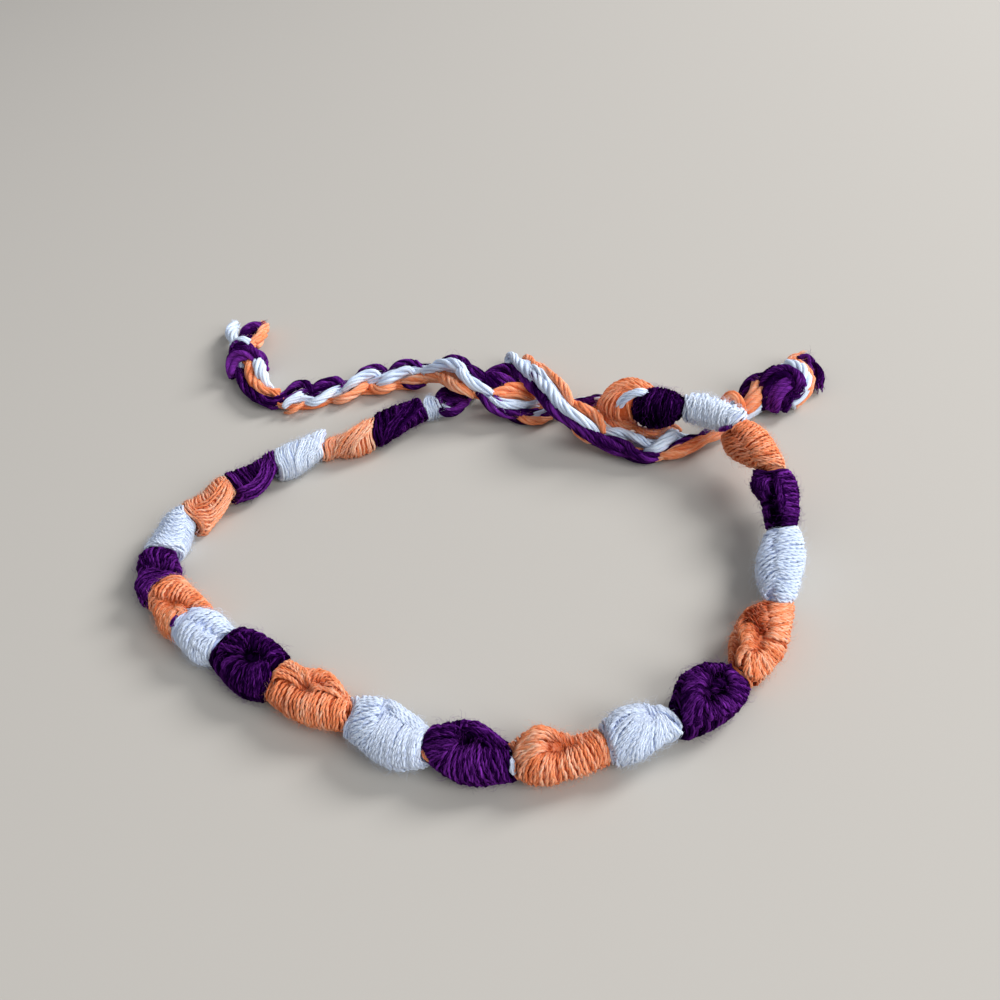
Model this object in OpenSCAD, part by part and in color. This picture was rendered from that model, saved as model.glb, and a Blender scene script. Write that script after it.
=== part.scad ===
// Knotted cotton bracelet in three colours, lying open on a flat surface.
// Twenty-two leaf-shaped lengths of knotting follow each other round a bundle of carrier threads.
// The bundle leaves the band at each end as a long tie, which ends in a knot with loose thread ends.
// X runs the longer way across the loop, Y the shorter way, and the surface is at Z = 0.
// The origin lies on the surface under the middle of the band.

/* [Band] */
// Usual width of a knotted leaf
leaf_w = 5.0; // [4.7:0.1:5.3]
// Usual thickness of a knotted leaf
leaf_h = 3.7; // [3.5:0.1:3.9]
// Share of the width and thickness that is left where two leaves meet
pinch = 0.64; // [0.6:0.01:0.7]
// Depth of the crease on the top of a leaf at its middle, as a share of its half thickness
crease_depth = 0.24; // [0.1:0.02:0.3]
// How far a leaf is pressed flat where it rests
press = 0.2; // [0.15:0.05:0.25]
// Gap between two leaves
leaf_gap = 0.16; // [0.1:0.02:0.3]

/* [Carrier threads] */
// Width of the bundle that runs through the leaves
core_w = 1.8; // [1.6:0.1:2.0]
// Thickness of the bundle
core_h = 1.2; // [1.0:0.1:1.3]
// Clearance between the bundle and the leaves round it
core_gap = 0.08; // [0.05:0.01:0.1]

/* [Ties] */
// Diameter of a tie
tie_d = 2.7; // [2.5:0.1:2.8]
// Diameter of the knot at the end of a tie
knot_d = 4.4; // [4:0.1:4.6]
// Length of the knot
knot_len = 4.0; // [3.5:0.1:4.5]
// Length of the loose thread ends past the knot of the left tie
left_ends_len = 3.2; // [2.5:0.1:4]
// Length of the loose thread ends past the knot of the right tie
right_ends_len = 4.8; // [4:0.1:5.5]
// Diameter of the bunch of loose thread ends
ends_d = 2.6; // [2.2:0.1:2.8]

/* [Hidden] */
// The pieces of the band from its left end, round the front, to its right end.
// Columns: name, colour, x and y of its first end, height of its underside there, width and
// thickness as shares of the usual ones, place of its widest part, and turn about its own run.
NAME = 0;
COLOUR = 1;
AT_X = 2;
AT_Y = 3;
RISE = 4;
WIDE = 5;
THICK = 6;
BELLY = 7;
TURN = 8;
pieces = [
    ["left_end_wrap",  "white",    0.0,  26.4, 0.0, 0.80, 0.92, 0.50,   0],
    ["purple_leaf_1",  "purple",  -1.9,  25.8, 0.0, 0.94, 0.92, 0.50,   0],
    ["orange_leaf_1",  "orange",  -7.9,  23.1, 0.0, 0.86, 0.92, 0.38,   6],
    ["white_leaf_1",   "white",  -13.8,  23.0, 0.0, 0.92, 0.92, 0.38,   0],
    ["purple_leaf_2",  "purple", -19.6,  21.2, 0.0, 1.08, 0.92, 0.45,  -6],
    ["orange_leaf_2",  "orange", -24.4,  18.5, 0.0, 0.94, 0.92, 0.55,   0],
    ["white_leaf_2",   "white",  -29.3,  15.0, 0.0, 0.92, 0.92, 0.64,   6],
    ["purple_leaf_3",  "purple", -31.6,  10.3, 0.0, 1.00, 0.97, 0.55,   0],
    ["orange_leaf_3",  "orange", -31.0,   3.9, 0.0, 1.02, 0.97, 0.50,  -8],
    ["white_leaf_3",   "white",  -27.0,  -2.0, 0.0, 0.96, 0.97, 0.55,   0],
    ["purple_leaf_4",  "purple", -23.4,  -6.5, 0.0, 1.26, 1.08, 0.50,  -6],
    ["orange_leaf_4",  "orange", -18.5, -11.6, 0.0, 1.08, 1.03, 0.40,   0],
    ["white_leaf_4",   "white",  -11.6, -17.3, 0.0, 1.24, 1.05, 0.48,   4],
    ["purple_leaf_5",  "purple",  -5.4, -21.9, 0.0, 1.24, 1.08, 0.42,  -4],
    ["orange_leaf_5",  "orange",   2.0, -24.6, 0.0, 1.14, 1.03, 0.42,   0],
    ["white_leaf_5",   "white",    9.4, -25.6, 0.0, 1.04, 1.00, 0.45,   4],
    ["purple_leaf_6",  "purple",  15.5, -24.3, 0.0, 1.14, 1.08, 0.58, -10],
    ["orange_leaf_6",  "orange",  21.9, -20.8, 0.0, 1.02, 1.03, 0.45,  -6],
    ["white_leaf_6",   "white",   27.0, -14.6, 0.4, 0.94, 0.97, 0.50,   0],
    ["purple_leaf_7",  "purple",  30.2,  -6.9, 1.3, 0.96, 0.97, 0.45,  -8],
    ["orange_leaf_7",  "orange",  31.7,   0.3, 2.4, 1.00, 1.00, 0.55,   6],
    ["white_leaf_7",   "white",   30.5,   7.7, 3.1, 0.92, 0.95, 0.50,   0],
    ["purple_leaf_8",  "purple",  26.7,  11.9, 3.0, 1.08, 1.08, 0.50,  -6],
    ["right_end_wrap", "orange",  20.9,  15.2, 2.3, 0.92, 0.94, 0.50,   0],
    ["band_end",       "orange",  19.4,  18.0, 1.5, 0.92, 0.94, 0.50,   0],
];
piece_count = len(pieces) - 1;

// Routes of the two ties, from the band to the knot
left_route = [
    [0.0, 26.4, 1.65], [2.2, 27.3, 1.45], [4.4, 28.6, 1.25], [6.4, 30.2, 1.25], [8.8, 31.2, 1.25],
    [11.2, 30.6, 1.7], [13.0, 28.8, 2.5], [13.7, 26.4, 3.3], [13.8, 23.8, 3.9], [14.0, 21.2, 4.1],
    [14.6, 18.5, 3.9], [15.9, 16.0, 3.1], [17.7, 13.7, 2.0], [19.9, 11.8, 1.3], [22.7, 10.5, 1.25],
    [25.8, 10.0, 1.25], [28.9, 10.6, 1.25], [31.6, 12.6, 1.25], [33.8, 14.5, 1.3],
    [36.0, 15.5, 1.6],
];
right_route = [
    [19.4, 18.0, 3.15], [18.2, 19.9, 2.5], [16.4, 21.1, 1.7], [14.2, 21.4, 1.25],
    [12.0, 21.5, 1.25], [9.9, 22.3, 1.45], [8.0, 23.9, 2.2], [6.3, 25.9, 3.3], [4.7, 28.1, 4.1],
    [3.0, 30.2, 4.0], [1.1, 32.1, 3.1], [-1.1, 33.7, 2.0], [-3.9, 34.9, 1.35], [-7.1, 35.4, 1.25],
    [-10.5, 35.1, 1.25], [-13.9, 34.5, 1.25], [-17.1, 34.4, 1.25], [-19.8, 35.4, 1.25],
    [-21.9, 37.6, 1.25], [-23.5, 41.1, 1.3], [-24.5, 45.2, 1.6],
];

// Turns of a leaf's outline, of the hole through it and of a tie
leaf_sides = 16;
core_sides = 8;
tie_sides = 8;
knot_sides = 12;
leaf_steps = 8;
core_steps = 2;
tie_steps = 2;
knot_steps = 7;
// How sharply the two halves of a leaf part at the crease
crease_spread = 0.3;
// How full the outline of a leaf is between its ends
leaf_fullness = 0.75;
// How full the outline of a knot is
knot_fullness = 0.45;
knot_end_share = 0.55;
// Rings, swelling and sideways turn of the bunches of loose thread ends
ends_steps = 3;
ends_flare = 0.15;
right_ends_bend = 70;

colours = [["purple", "#3d1466"], ["orange", "#f0713a"], ["white", "#dfe2ee"]];
function tint(name) = [for (c = colours) if (c[0] == name) c[1]][0];

function unit(v) = v / norm(v);
// A smooth curve from b to c, heading from a to c at b and from b to d at c, and its direction
function curve_at(a, b, c, d, t) =
    b * (2 * t * t * t - 3 * t * t + 1) + c * (3 * t * t - 2 * t * t * t)
    + norm(c - b) * (unit(c - a) * (t * t * t - 2 * t * t + t) + unit(d - b) * (t * t * t - t * t));
function curve_run(a, b, c, d, t) = unit(
    (c - b) * 6 * (t - t * t)
    + norm(c - b) * (unit(c - a) * (3 * t * t - 4 * t + 1) + unit(d - b) * (3 * t * t - 2 * t)));
function point_of(route, i) =
    i < 0 ? 2 * route[0] - route[1]
    : i < len(route) ? route[i]
    : 2 * route[len(route) - 1] - route[len(route) - 2];
function place_on(route, i, t) =
    curve_at(point_of(route, i - 1), point_of(route, i), point_of(route, i + 1),
             point_of(route, i + 2), t);
function run_on(route, i, t) =
    curve_run(point_of(route, i - 1), point_of(route, i), point_of(route, i + 1),
              point_of(route, i + 2), t);

// Sideways is level and points out of the loop, and upward is square to it and to the run
function sideways(run) = unit([run[1], -run[0], 0]);
function upward(run) = cross(sideways(run), run);

// Middle line of the band
band_mid = leaf_h / 2 - press;
band_route = [for (p = pieces) [p[AT_X], p[AT_Y], p[RISE] + band_mid]];
left_run = -run_on(band_route, 0, 0);
right_run = run_on(band_route, piece_count - 1, 1);

// Share of the full width at share t of a leaf's length, widest at its belly
function swell(t, belly) =
    pinch + (1 - pinch) * pow(sin(180 * pow(t, ln(0.5) / ln(belly))), leaf_fullness);

// Points round a leaf, in half widths and half thicknesses, with a crease of some depth on top
function leaf_round(angle, depth) =
    [cos(angle), sin(angle) - depth * exp(-pow(cos(angle) / crease_spread, 2))
                 * (sin(angle) > 0 ? 1 : 0)];

function leaf_ring(i, t) =
    let (p = pieces[i],
         mid = place_on(band_route, i, t),
         run = run_on(band_route, i, t),
         share = swell(t, p[BELLY]),
         half_w = leaf_w / 2 * p[WIDE] * share,
         top = (leaf_h * p[THICK] - leaf_h / 2) * share,
         bottom = leaf_h / 2 * share)
    [for (s = [0:leaf_sides - 1])
        let (r = leaf_round(s * 360 / leaf_sides, crease_depth * sin(180 * t)),
             across = half_w * r[0],
             up = (r[1] > 0 ? top : bottom) * r[1],
             v = mid + sideways(run) * (across * cos(p[TURN]) - up * sin(p[TURN]))
                 + upward(run) * (across * sin(p[TURN]) + up * cos(p[TURN])))
        [v[0], v[1], max(0, v[2])]];

// Points round the carrier threads, with room to spare
function core_ring(i, t, spare) =
    let (mid = place_on(band_route, i, t), run = run_on(band_route, i, t))
    [for (s = [0:core_sides - 1])
        mid + sideways(run) * (core_w / 2 + spare) * cos(s * 360 / core_sides)
        + upward(run) * (core_h / 2 + spare) * sin(s * 360 / core_sides)];

function joined(lists) = [for (l = lists) for (v = l) v];

// Faces between one ring and the next, and across the two ends
function skin(rings, sides, first = 0) = joined(
    [for (r = [0:rings - 2]) for (s = [0:sides - 1])
        let (a = first + r * sides + s, b = first + r * sides + (s + 1) % sides)
        [[a, b, a + sides], [b, b + sides, a + sides]]]);
function turned(faces) = [for (f = faces) [f[2], f[1], f[0]]];
function rim(outer, inner) = joined(
    [for (s = [0:core_sides - 1])
        let (a = outer + 2 * s, b = a + 1, c = outer + (2 * s + 2) % leaf_sides,
             d = inner + s, e = inner + (s + 1) % core_sides)
        [[a, b, d], [b, e, d], [b, c, e]]]);

// One knotted leaf, open along its middle for the carrier threads
module leaf(i) {
    span = norm(point_of(band_route, i + 1) - point_of(band_route, i));
    first_t = leaf_gap / 2 / span;
    ts = [for (k = [0:leaf_steps]) first_t + (1 - 2 * first_t) * k / leaf_steps];
    hole_ts = [for (k = [0:core_steps]) first_t + (1 - 2 * first_t) * k / core_steps];
    hole_start = len(ts) * leaf_sides;
    points = concat(joined([for (t = ts) leaf_ring(i, t)]),
                    joined([for (t = hole_ts) core_ring(i, t, core_gap)]));
    faces = concat(
        skin(len(ts), leaf_sides),
        turned(skin(len(hole_ts), core_sides, hole_start)),
        turned(rim(0, hole_start)),
        rim(leaf_steps * leaf_sides, hole_start + core_steps * core_sides)
    );
    color(tint(pieces[i][COLOUR])) polyhedron(points, faces);
}

// A closed tube from a list of rings
module tube(rings, sides) {
    last = (len(rings) - 1) * sides;
    polyhedron(joined(rings), concat(
        skin(len(rings), sides),
        [[for (s = [sides - 1:-1:0]) s]],
        [[for (s = [0:sides - 1]) last + s]]
    ));
}

// The bundle of threads that the leaves are knotted round
module carrier_threads() {
    rings = [for (i = [0:piece_count - 1]) for (k = [0:core_steps - 1])
        core_ring(i, k / core_steps, 0)];
    color(tint("white"))
        tube(concat(rings, [core_ring(piece_count - 1, 1, 0)]), core_sides);
}

// Points round a tie, square to its run
function tie_ring(mid, run) =
    [for (s = [0:tie_sides - 1])
        let (angle = (s + 0.5) * 360 / tie_sides,
             v = mid + (sideways(run) * cos(angle) + upward(run) * sin(angle)) * tie_d / 2)
        [v[0], v[1], max(0, v[2])]];

// A tie laid along its route. Its first end lies flat against the end of the band.
module tie(route, name, band_run) {
    last = len(route) - 1;
    rings = [for (i = [0:last - 1]) for (k = [0:tie_steps - 1])
        tie_ring(place_on(route, i, k / tie_steps),
                 i + k == 0 ? band_run : run_on(route, i, k / tie_steps))];
    color(tint(name))
        tube(concat(rings, [tie_ring(route[last], run_on(route, last - 1, 1))]), tie_sides);
}

// Rings of a round body that carries on from the end of a route and sinks to the surface
function body_rings(route, start, length, width, end_width, fullness, rest) =
    let (last = len(route) - 1,
         run = run_on(route, last - 1, 1),
         level = unit([run[0], run[1], 0]),
         first = route[last] + run * start)
    [for (k = [0:knot_steps])
        let (t = k / knot_steps,
             half = (end_width + (width - end_width) * pow(sin(180 * t), fullness)) / 2,
             high = k == 0 ? first[2] : max(half, first[2] + (rest - first[2]) * min(1, 2 * t)),
             facing = k == 0 ? run : level,
             mid = k == 0 ? first : [first[0], first[1], 0] + level * length * t + [0, 0, high])
        [for (s = [0:knot_sides - 1])
            let (angle = (s + 0.5) * 360 / knot_sides,
                 v = mid + (sideways(facing) * cos(angle) + upward(facing) * sin(angle)) * half)
            [v[0], v[1], max(0, v[2])]]];

// The overhand knot at the end of a tie
module knot(route, name) {
    color(tint(name))
        tube(body_rings(route, 0, knot_len, knot_d, knot_d * knot_end_share, knot_fullness,
                        knot_d / 2), knot_sides);
}

// The loose ends of the threads past the knot, sinking to the surface and turning aside
module thread_ends(route, name, length, bend) {
    last = len(route) - 1;
    run = run_on(route, last - 1, 1);
    level = unit([run[0], run[1], 0]);
    start = [route[last][0], route[last][1], knot_d / 2] + level * knot_len;
    sink = (knot_d - ends_d) / 2;
    rings = [for (k = [0:ends_steps])
        let (t = k / ends_steps,
             facing = level * cos(bend * t) + sideways(level) * sin(bend * t),
             half = ends_d / 2 * (1 + ends_flare * sin(180 * t)),
             mid = start + (level * cos(bend * t / 2) + sideways(level) * sin(bend * t / 2))
                   * length * t - [0, 0, sink * t])
        [for (s = [0:knot_sides - 1])
            let (angle = (s + 0.5) * 360 / knot_sides,
                 v = mid + (sideways(facing) * cos(angle) + [0, 0, 1] * sin(angle)) * half)
            [v[0], v[1], max(0, v[2])]]];
    color(tint(name)) tube(rings, knot_sides);
}

for (i = [0:piece_count - 1])
    leaf(i);
carrier_threads();
tie(left_route, "purple", left_run);  // left_tie
tie(right_route, "orange", right_run);  // right_tie
knot(left_route, "purple");  // left_knot
knot(right_route, "purple");  // right_knot
thread_ends(left_route, "orange", left_ends_len, 0);  // left_thread_ends
thread_ends(right_route, "white", right_ends_len, right_ends_bend);  // right_thread_ends
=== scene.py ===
"""Knotted cotton bracelet: its threads, ties, knots and finishes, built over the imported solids."""

import logging
import math
from collections import defaultdict
from dataclasses import dataclass
from enum import Enum
from typing import Callable

import bpy
import numpy as np
from mathutils import Matrix, Vector


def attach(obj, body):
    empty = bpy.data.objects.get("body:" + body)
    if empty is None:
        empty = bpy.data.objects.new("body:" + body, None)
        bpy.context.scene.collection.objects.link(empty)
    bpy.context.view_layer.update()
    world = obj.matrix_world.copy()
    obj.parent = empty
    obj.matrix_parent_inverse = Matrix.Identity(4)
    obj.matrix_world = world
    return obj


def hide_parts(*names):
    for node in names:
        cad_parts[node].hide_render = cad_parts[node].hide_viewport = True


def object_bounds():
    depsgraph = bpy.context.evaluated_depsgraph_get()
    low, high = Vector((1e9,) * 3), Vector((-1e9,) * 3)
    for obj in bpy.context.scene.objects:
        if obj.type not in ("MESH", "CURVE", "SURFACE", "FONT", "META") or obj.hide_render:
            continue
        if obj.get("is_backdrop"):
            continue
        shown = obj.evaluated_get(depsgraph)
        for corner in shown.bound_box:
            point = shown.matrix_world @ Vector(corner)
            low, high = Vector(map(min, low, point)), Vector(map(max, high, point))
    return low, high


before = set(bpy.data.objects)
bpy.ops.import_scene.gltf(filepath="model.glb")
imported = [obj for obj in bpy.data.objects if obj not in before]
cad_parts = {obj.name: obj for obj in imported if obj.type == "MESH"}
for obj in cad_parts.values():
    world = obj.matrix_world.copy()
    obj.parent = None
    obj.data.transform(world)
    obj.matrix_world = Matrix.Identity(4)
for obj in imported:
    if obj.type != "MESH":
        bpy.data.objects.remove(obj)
CAD_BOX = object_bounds()

LOG = logging.getLogger("bracelet")
Array = np.ndarray
Triple = tuple[float, float, float]
Thing = bpy.types.Object
Socket = bpy.types.NodeSocket
Palette = dict["Cotton", bpy.types.Material]
MM = 0.001
TURN = 2 * math.pi
TO_CAMERA = (0.13, -0.6, 0.79)
UV_NAME = "thread"
# The most painted gap shade that a thread takes, from 0 to 1
MOST_GAP_SHADE = 0.95


class Cotton(Enum):
    """The three dyed cottons of the bracelet."""

    PURPLE = "purple"
    ORANGE = "orange"
    WHITE = "white"

    @property
    def slot(self) -> str:
        """The name of its material in the record."""
        return self.value + "_cotton"


P, O, W = Cotton.PURPLE, Cotton.ORANGE, Cotton.WHITE


# Finishes


class NodeBook:
    """Adds shader nodes to one new material."""

    def __init__(self, name: str) -> None:
        """Starts the material without nodes.

        Args:
            name: the material's name.
        """
        self.material = bpy.data.materials.new(name)
        self.material.use_nodes = True
        self.tree = self.material.node_tree
        self.tree.nodes.clear()

    def add(self, kind: str, inputs: dict, **settings: object) -> bpy.types.Node:
        """Adds one node.

        Args:
            kind: the node's type.
            inputs: the value of each input, or the socket that is linked to it.
            settings: the node's own settings.

        Returns:
            The node.
        """
        node = self.tree.nodes.new("ShaderNode" + kind)
        for key, value in settings.items():
            setattr(node, key, value)
        for key, value in inputs.items():
            if isinstance(value, Socket):
                self.tree.links.new(value, node.inputs[key])
            else:
                node.inputs[key].default_value = value
        return node

    def calc(self, kind: str, a: Socket | float, b: Socket | float = 0.0) -> Socket:
        """Adds one Math node and returns its result."""
        return self.add("Math", {0: a, 1: b}, operation=kind).outputs[0]

    def plus(self, a: Socket, b: Socket) -> Socket:
        """Adds two values."""
        return self.calc("ADD", a, b)

    def times(self, a: Socket, b: float) -> Socket:
        """Scales a value."""
        return self.calc("MULTIPLY", a, b)

    def blend(self, share: Socket, a: Socket, b: tuple[float, ...]) -> Socket:
        """Mixes colour b into colour a and returns the result."""
        return self.add("Mix", {0: share, 6: a, 7: b}, data_type="RGBA").outputs[2]


@dataclass(frozen=True)
class CottonFinish:
    """Colours and surface of one dyed cotton thread.

    hollow is painted shade, the darkest colour in the crevices between threads, shade is painted
    shade in their gaps, body is the dyed colour and glint is a painted highlight on the lit fibres.
    slant is the fibres' turns for each millimetre, girth, length and dye_length set the size of
    streaks, the steps set threads apart by their tone, and streaks, yarns and dye say how much each
    shows. inmost is the span of painted gap shade over which hollow takes over.
    """

    name: str
    crevice_shade: Triple
    shade: Triple
    body: Triple
    glint: Triple
    sheen_tint: Triple
    glow_reach: Triple
    roughness: float
    sheen: float
    gloss: float
    glow: float
    sheen_spread: float = 0.35
    glow_depth: float = 0.3 * MM
    relief: float = 0.05 * MM
    relief_share: float = 0.7
    slant: float = 0.32
    girth: float = 1.9
    length: float = 0.8
    tone_step: float = 61.0
    dye_length: float = 0.3
    dye_step: float = 23.0
    streaks: float = 0.7
    yarns: float = 0.3
    dye: float = 0.3
    stops: Triple = (0.40, 0.62, 0.88)
    crevice_shade_range: tuple[float, float] = (0.75, 0.95)
    rougher: float = 0.12
    smoother: float = 0.1

    def build(self) -> bpy.types.Material:
        """Makes the material from a thread's UV map and its tone and deep attributes.

        Returns:
            The material.
        """
        book = NodeBook(self.name)
        plus, times = book.plus, book.times
        uv = book.add("UVMap", {}, uv_map=UV_NAME)
        along, about = book.add("SeparateXYZ", {0: uv.outputs[0]}).outputs[:2]
        tone, gap_shade = (book.add("Attribute", {}, attribute_name=key).outputs["Fac"]
                      for key in ("tone", "gap_shade"))
        # Fibres wind round the thread, so a streak runs along it at a slant
        turn = times(plus(about, times(along, self.slant)), TURN)
        place = book.add("CombineXYZ", {
            0: times(book.calc("COSINE", turn), self.girth),
            1: times(book.calc("SINE", turn), self.girth),
            2: plus(times(along, self.length), times(tone, self.tone_step))})
        fibres = book.add("TexNoise", {"Vector": place.outputs[0], "Scale": 1.6, "Detail": 3.0,
                                       "Roughness": 0.6}).outputs["Fac"]
        # Slow changes of the dye along a thread
        place = book.add("CombineXYZ", {0: times(along, self.dye_length),
                                        1: times(tone, self.dye_step)})
        dye = book.add("TexNoise", {"Vector": place.outputs[0], "Scale": 1.0,
                                    "Detail": 1.0}).outputs["Fac"]
        # The fibre streaks run from the shade colour through the dye to painted glint highlights
        level = plus(times(fibres, self.streaks),
                     plus(times(tone, self.yarns), times(dye, self.dye)))
        ramp = book.add("ValToRGB", {0: level})
        first, last = ramp.color_ramp.elements
        first.position, first.color = self.stops[0], (*self.shade, 1)
        last.position, last.color = self.stops[2], (*self.glint, 1)
        ramp.color_ramp.elements.new(self.stops[1]).color = (*self.body, 1)
        # Painted shade: a thread that lies in a gap is blended towards the shade colour
        colour = book.blend(gap_shade, ramp.outputs[0], (*self.shade, 1))
        # In the narrowest crevices the colour goes on to a darker painted shade still
        crevice_shade_range = book.add("MapRange", {0: gap_shade, "From Min": self.crevice_shade_range[0],
                                       "From Max": self.crevice_shade_range[1]})
        colour = book.blend(crevice_shade_range.outputs[0], colour, (*self.crevice_shade, 1))
        rough = book.add("MapRange", {0: fibres, "To Min": self.roughness + self.rougher,
                                      "To Max": self.roughness - self.smoother})
        bump = book.add("Bump", {"Height": fibres, "Strength": self.relief_share,
                                 "Distance": self.relief})
        shader = book.add("BsdfPrincipled", {
            "Base Color": colour, "Roughness": rough.outputs[0], "Normal": bump.outputs[0],
            "Specular IOR Level": self.gloss, "Sheen Weight": self.sheen,
            "Sheen Roughness": self.sheen_spread, "Sheen Tint": (*self.sheen_tint, 1),
            "Subsurface Weight": self.glow, "Subsurface Radius": self.glow_reach,
            "Subsurface Scale": self.glow_depth})
        book.add("OutputMaterial", {0: shader.outputs[0]})
        return book.material


FINISHES = {
    P: CottonFinish(
        "purple cotton thread", crevice_shade=(0.0012, 0.0001, 0.0025), shade=(0.0015, 0.0001, 0.003),
        body=(0.021, 0.0012, 0.044), glint=(0.27, 0.04, 0.42), sheen_tint=(0.45, 0.18, 0.70),
        glow_reach=(1.0, 0.4, 1.0), roughness=0.7, sheen=0.0, gloss=0.0, glow=0.0),
    O: CottonFinish(
        "orange cotton thread", crevice_shade=(0.30, 0.036, 0.006), shade=(0.48, 0.066, 0.009),
        body=(0.98, 0.285, 0.105), glint=(1.0, 0.61, 0.41), sheen_tint=(1.0, 0.62, 0.42),
        glow_reach=(1.0, 0.45, 0.25), roughness=0.6, sheen=0.06, gloss=0.15, glow=0.2),
    W: CottonFinish(
        "white cotton thread", crevice_shade=(0.58, 0.66, 0.93), shade=(0.60, 0.68, 0.95),
        body=(0.71, 0.82, 1.0), glint=(0.83, 0.91, 1.0), sheen_tint=(0.85, 0.92, 1.0),
        glow_reach=(0.9, 0.95, 1.0), roughness=0.65, sheen=0.08, gloss=0.15, glow=0.5),
}


# Smooth lines


def unit(v: Array) -> Array:
    """Gives each vector a length of one."""
    return v / np.maximum(np.linalg.norm(v, axis=-1, keepdims=True), 1e-12)


def distances(line: Array) -> Array:
    """The distance along a line to each of its points."""
    return np.concatenate([[0], np.cumsum(np.linalg.norm(np.diff(line, axis=0), axis=1))])


def side_and_up(run: Array) -> tuple[Array, Array]:
    """The level direction square to the run, outwards on the band, and the one square to both."""
    side = unit(np.stack([run[:, 1], -run[:, 0], np.zeros(len(run))], axis=1))
    return side, np.cross(side, run)


def around(line: Array, lead: Array) -> tuple[Array, Array, Array]:
    """Finds the directions at each point of a line.

    Args:
        line: the line's points.
        lead: a direction, or one for each point, that isn't along the line.

    Returns:
        Unit directions along the line, across it, and out of it towards lead.
    """
    run = unit(np.gradient(line, axis=0))
    across = unit(np.cross(run, np.broadcast_to(lead, line.shape)))
    return run, across, np.cross(across, run)


def swing(a: Array, b: Array, turn: Array) -> Array:
    """Directions a, turned towards directions b by angles in radians."""
    return a * np.cos(turn)[:, None] + b * np.sin(turn)[:, None]


def above(points: Array, low: Array | float) -> Array:
    """Lifts points to at least the height low."""
    points[:, 2] = np.maximum(points[:, 2], low)
    return points


def ends_at(q: Array, near: float, far: float) -> Array:
    """Two soft bumps, at q 0 and 1, with the given widths."""
    return np.exp(-(q / near) ** 2) + np.exp(-((1 - q) / far) ** 2)


def close_to_ends(u: Array, reach: float) -> Array:
    """How close each share of a length is to either end, from 0 at the reach to 1 at the end."""
    return np.clip(1 - u / reach, 0, 1) + np.clip(1 - (1 - u) / reach, 0, 1)


def apart(a: Array, b: Array | float) -> Array:
    """The smallest signed turn from b to a, in degrees."""
    return (a - b + 180) % 360 - 180


def through(values: Array, t: Array) -> Array:
    """A smooth curve through values that stand at 0, 1, 2 and so on.

    Args:
        values: the values, one row for each.
        t: where to read the curve.

    Returns:
        The values there.
    """
    v = np.asarray(values, float)
    v = np.concatenate([[2 * v[0] - v[1]], v, [2 * v[-1] - v[-2]]])
    i = np.clip(np.floor(t).astype(int), 0, len(v) - 4)
    s = (t - i).reshape(-1, *[1] * (v.ndim - 1))
    a, b, c, d = (v[i + k] for k in range(4))
    return 0.5 * (2 * b + (c - a) * s + (2 * a - 5 * b + 4 * c - d) * s**2
                  + (3 * b - a - 3 * c + d) * s**3)


class Route:
    """A smooth line through points, as the solids follow it."""

    def __init__(self, points: Array | list[Triple]) -> None:
        """Takes the points and adds one past each end.

        Args:
            points: the points, in millimetres.
        """
        p = np.asarray(points, float) * MM
        self.points = np.vstack([2 * p[0] - p[1], p, 2 * p[-1] - p[-2]])
        self.spans = len(p) - 1

    def at(self, t: Array) -> tuple[Array, Array]:
        """Places on the line.

        Args:
            t: span number plus share of the span, from 0 to the number of spans.

        Returns:
            The points, in metres, and the unit directions there.
        """
        t = np.asarray(t, float)
        i = np.clip(np.floor(t).astype(int), 0, self.spans - 1)
        s = (t - i)[:, None]
        a, b, c, d = (self.points[i + k] for k in range(4))
        size = np.linalg.norm(c - b, axis=1, keepdims=True)
        go, come = unit(c - a) * size, unit(d - b) * size
        place = (b * (2 * s**3 - 3 * s**2 + 1) + c * (3 * s**2 - 2 * s**3)
                 + go * (s**3 - 2 * s**2 + s) + come * (s**3 - s**2))
        run = ((c - b) * 6 * (s - s**2) + go * (3 * s**2 - 4 * s + 1)
               + come * (3 * s**2 - 2 * s))
        return place, unit(run)

    def even(self, step: float) -> tuple[Array, Array, Array]:
        """Evenly spaced places.

        Args:
            step: distance between places, in metres.

        Returns:
            The points, the unit directions and the distance along the line.
        """
        t = np.linspace(0, self.spans, self.spans * 40 + 1)
        far = distances(self.at(t)[0])
        want = np.linspace(0, far[-1], max(2, round(far[-1] / step)) + 1)
        p, run = self.at(np.interp(want, far, t))
        return p, run, want


# Thread meshes


# A rope's strands: how far out they lie and how thick they are, as shares of its radius
OUTER_STRAND, MIDDLE_STRAND = (0.66, 0.40), (0.0, 0.6)
# How far the strands stray round the rope, in radians, and a fibre's thickness at its tip
STRAND_SWAY, HAIR_TIP = 0.25, 0.4


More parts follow.
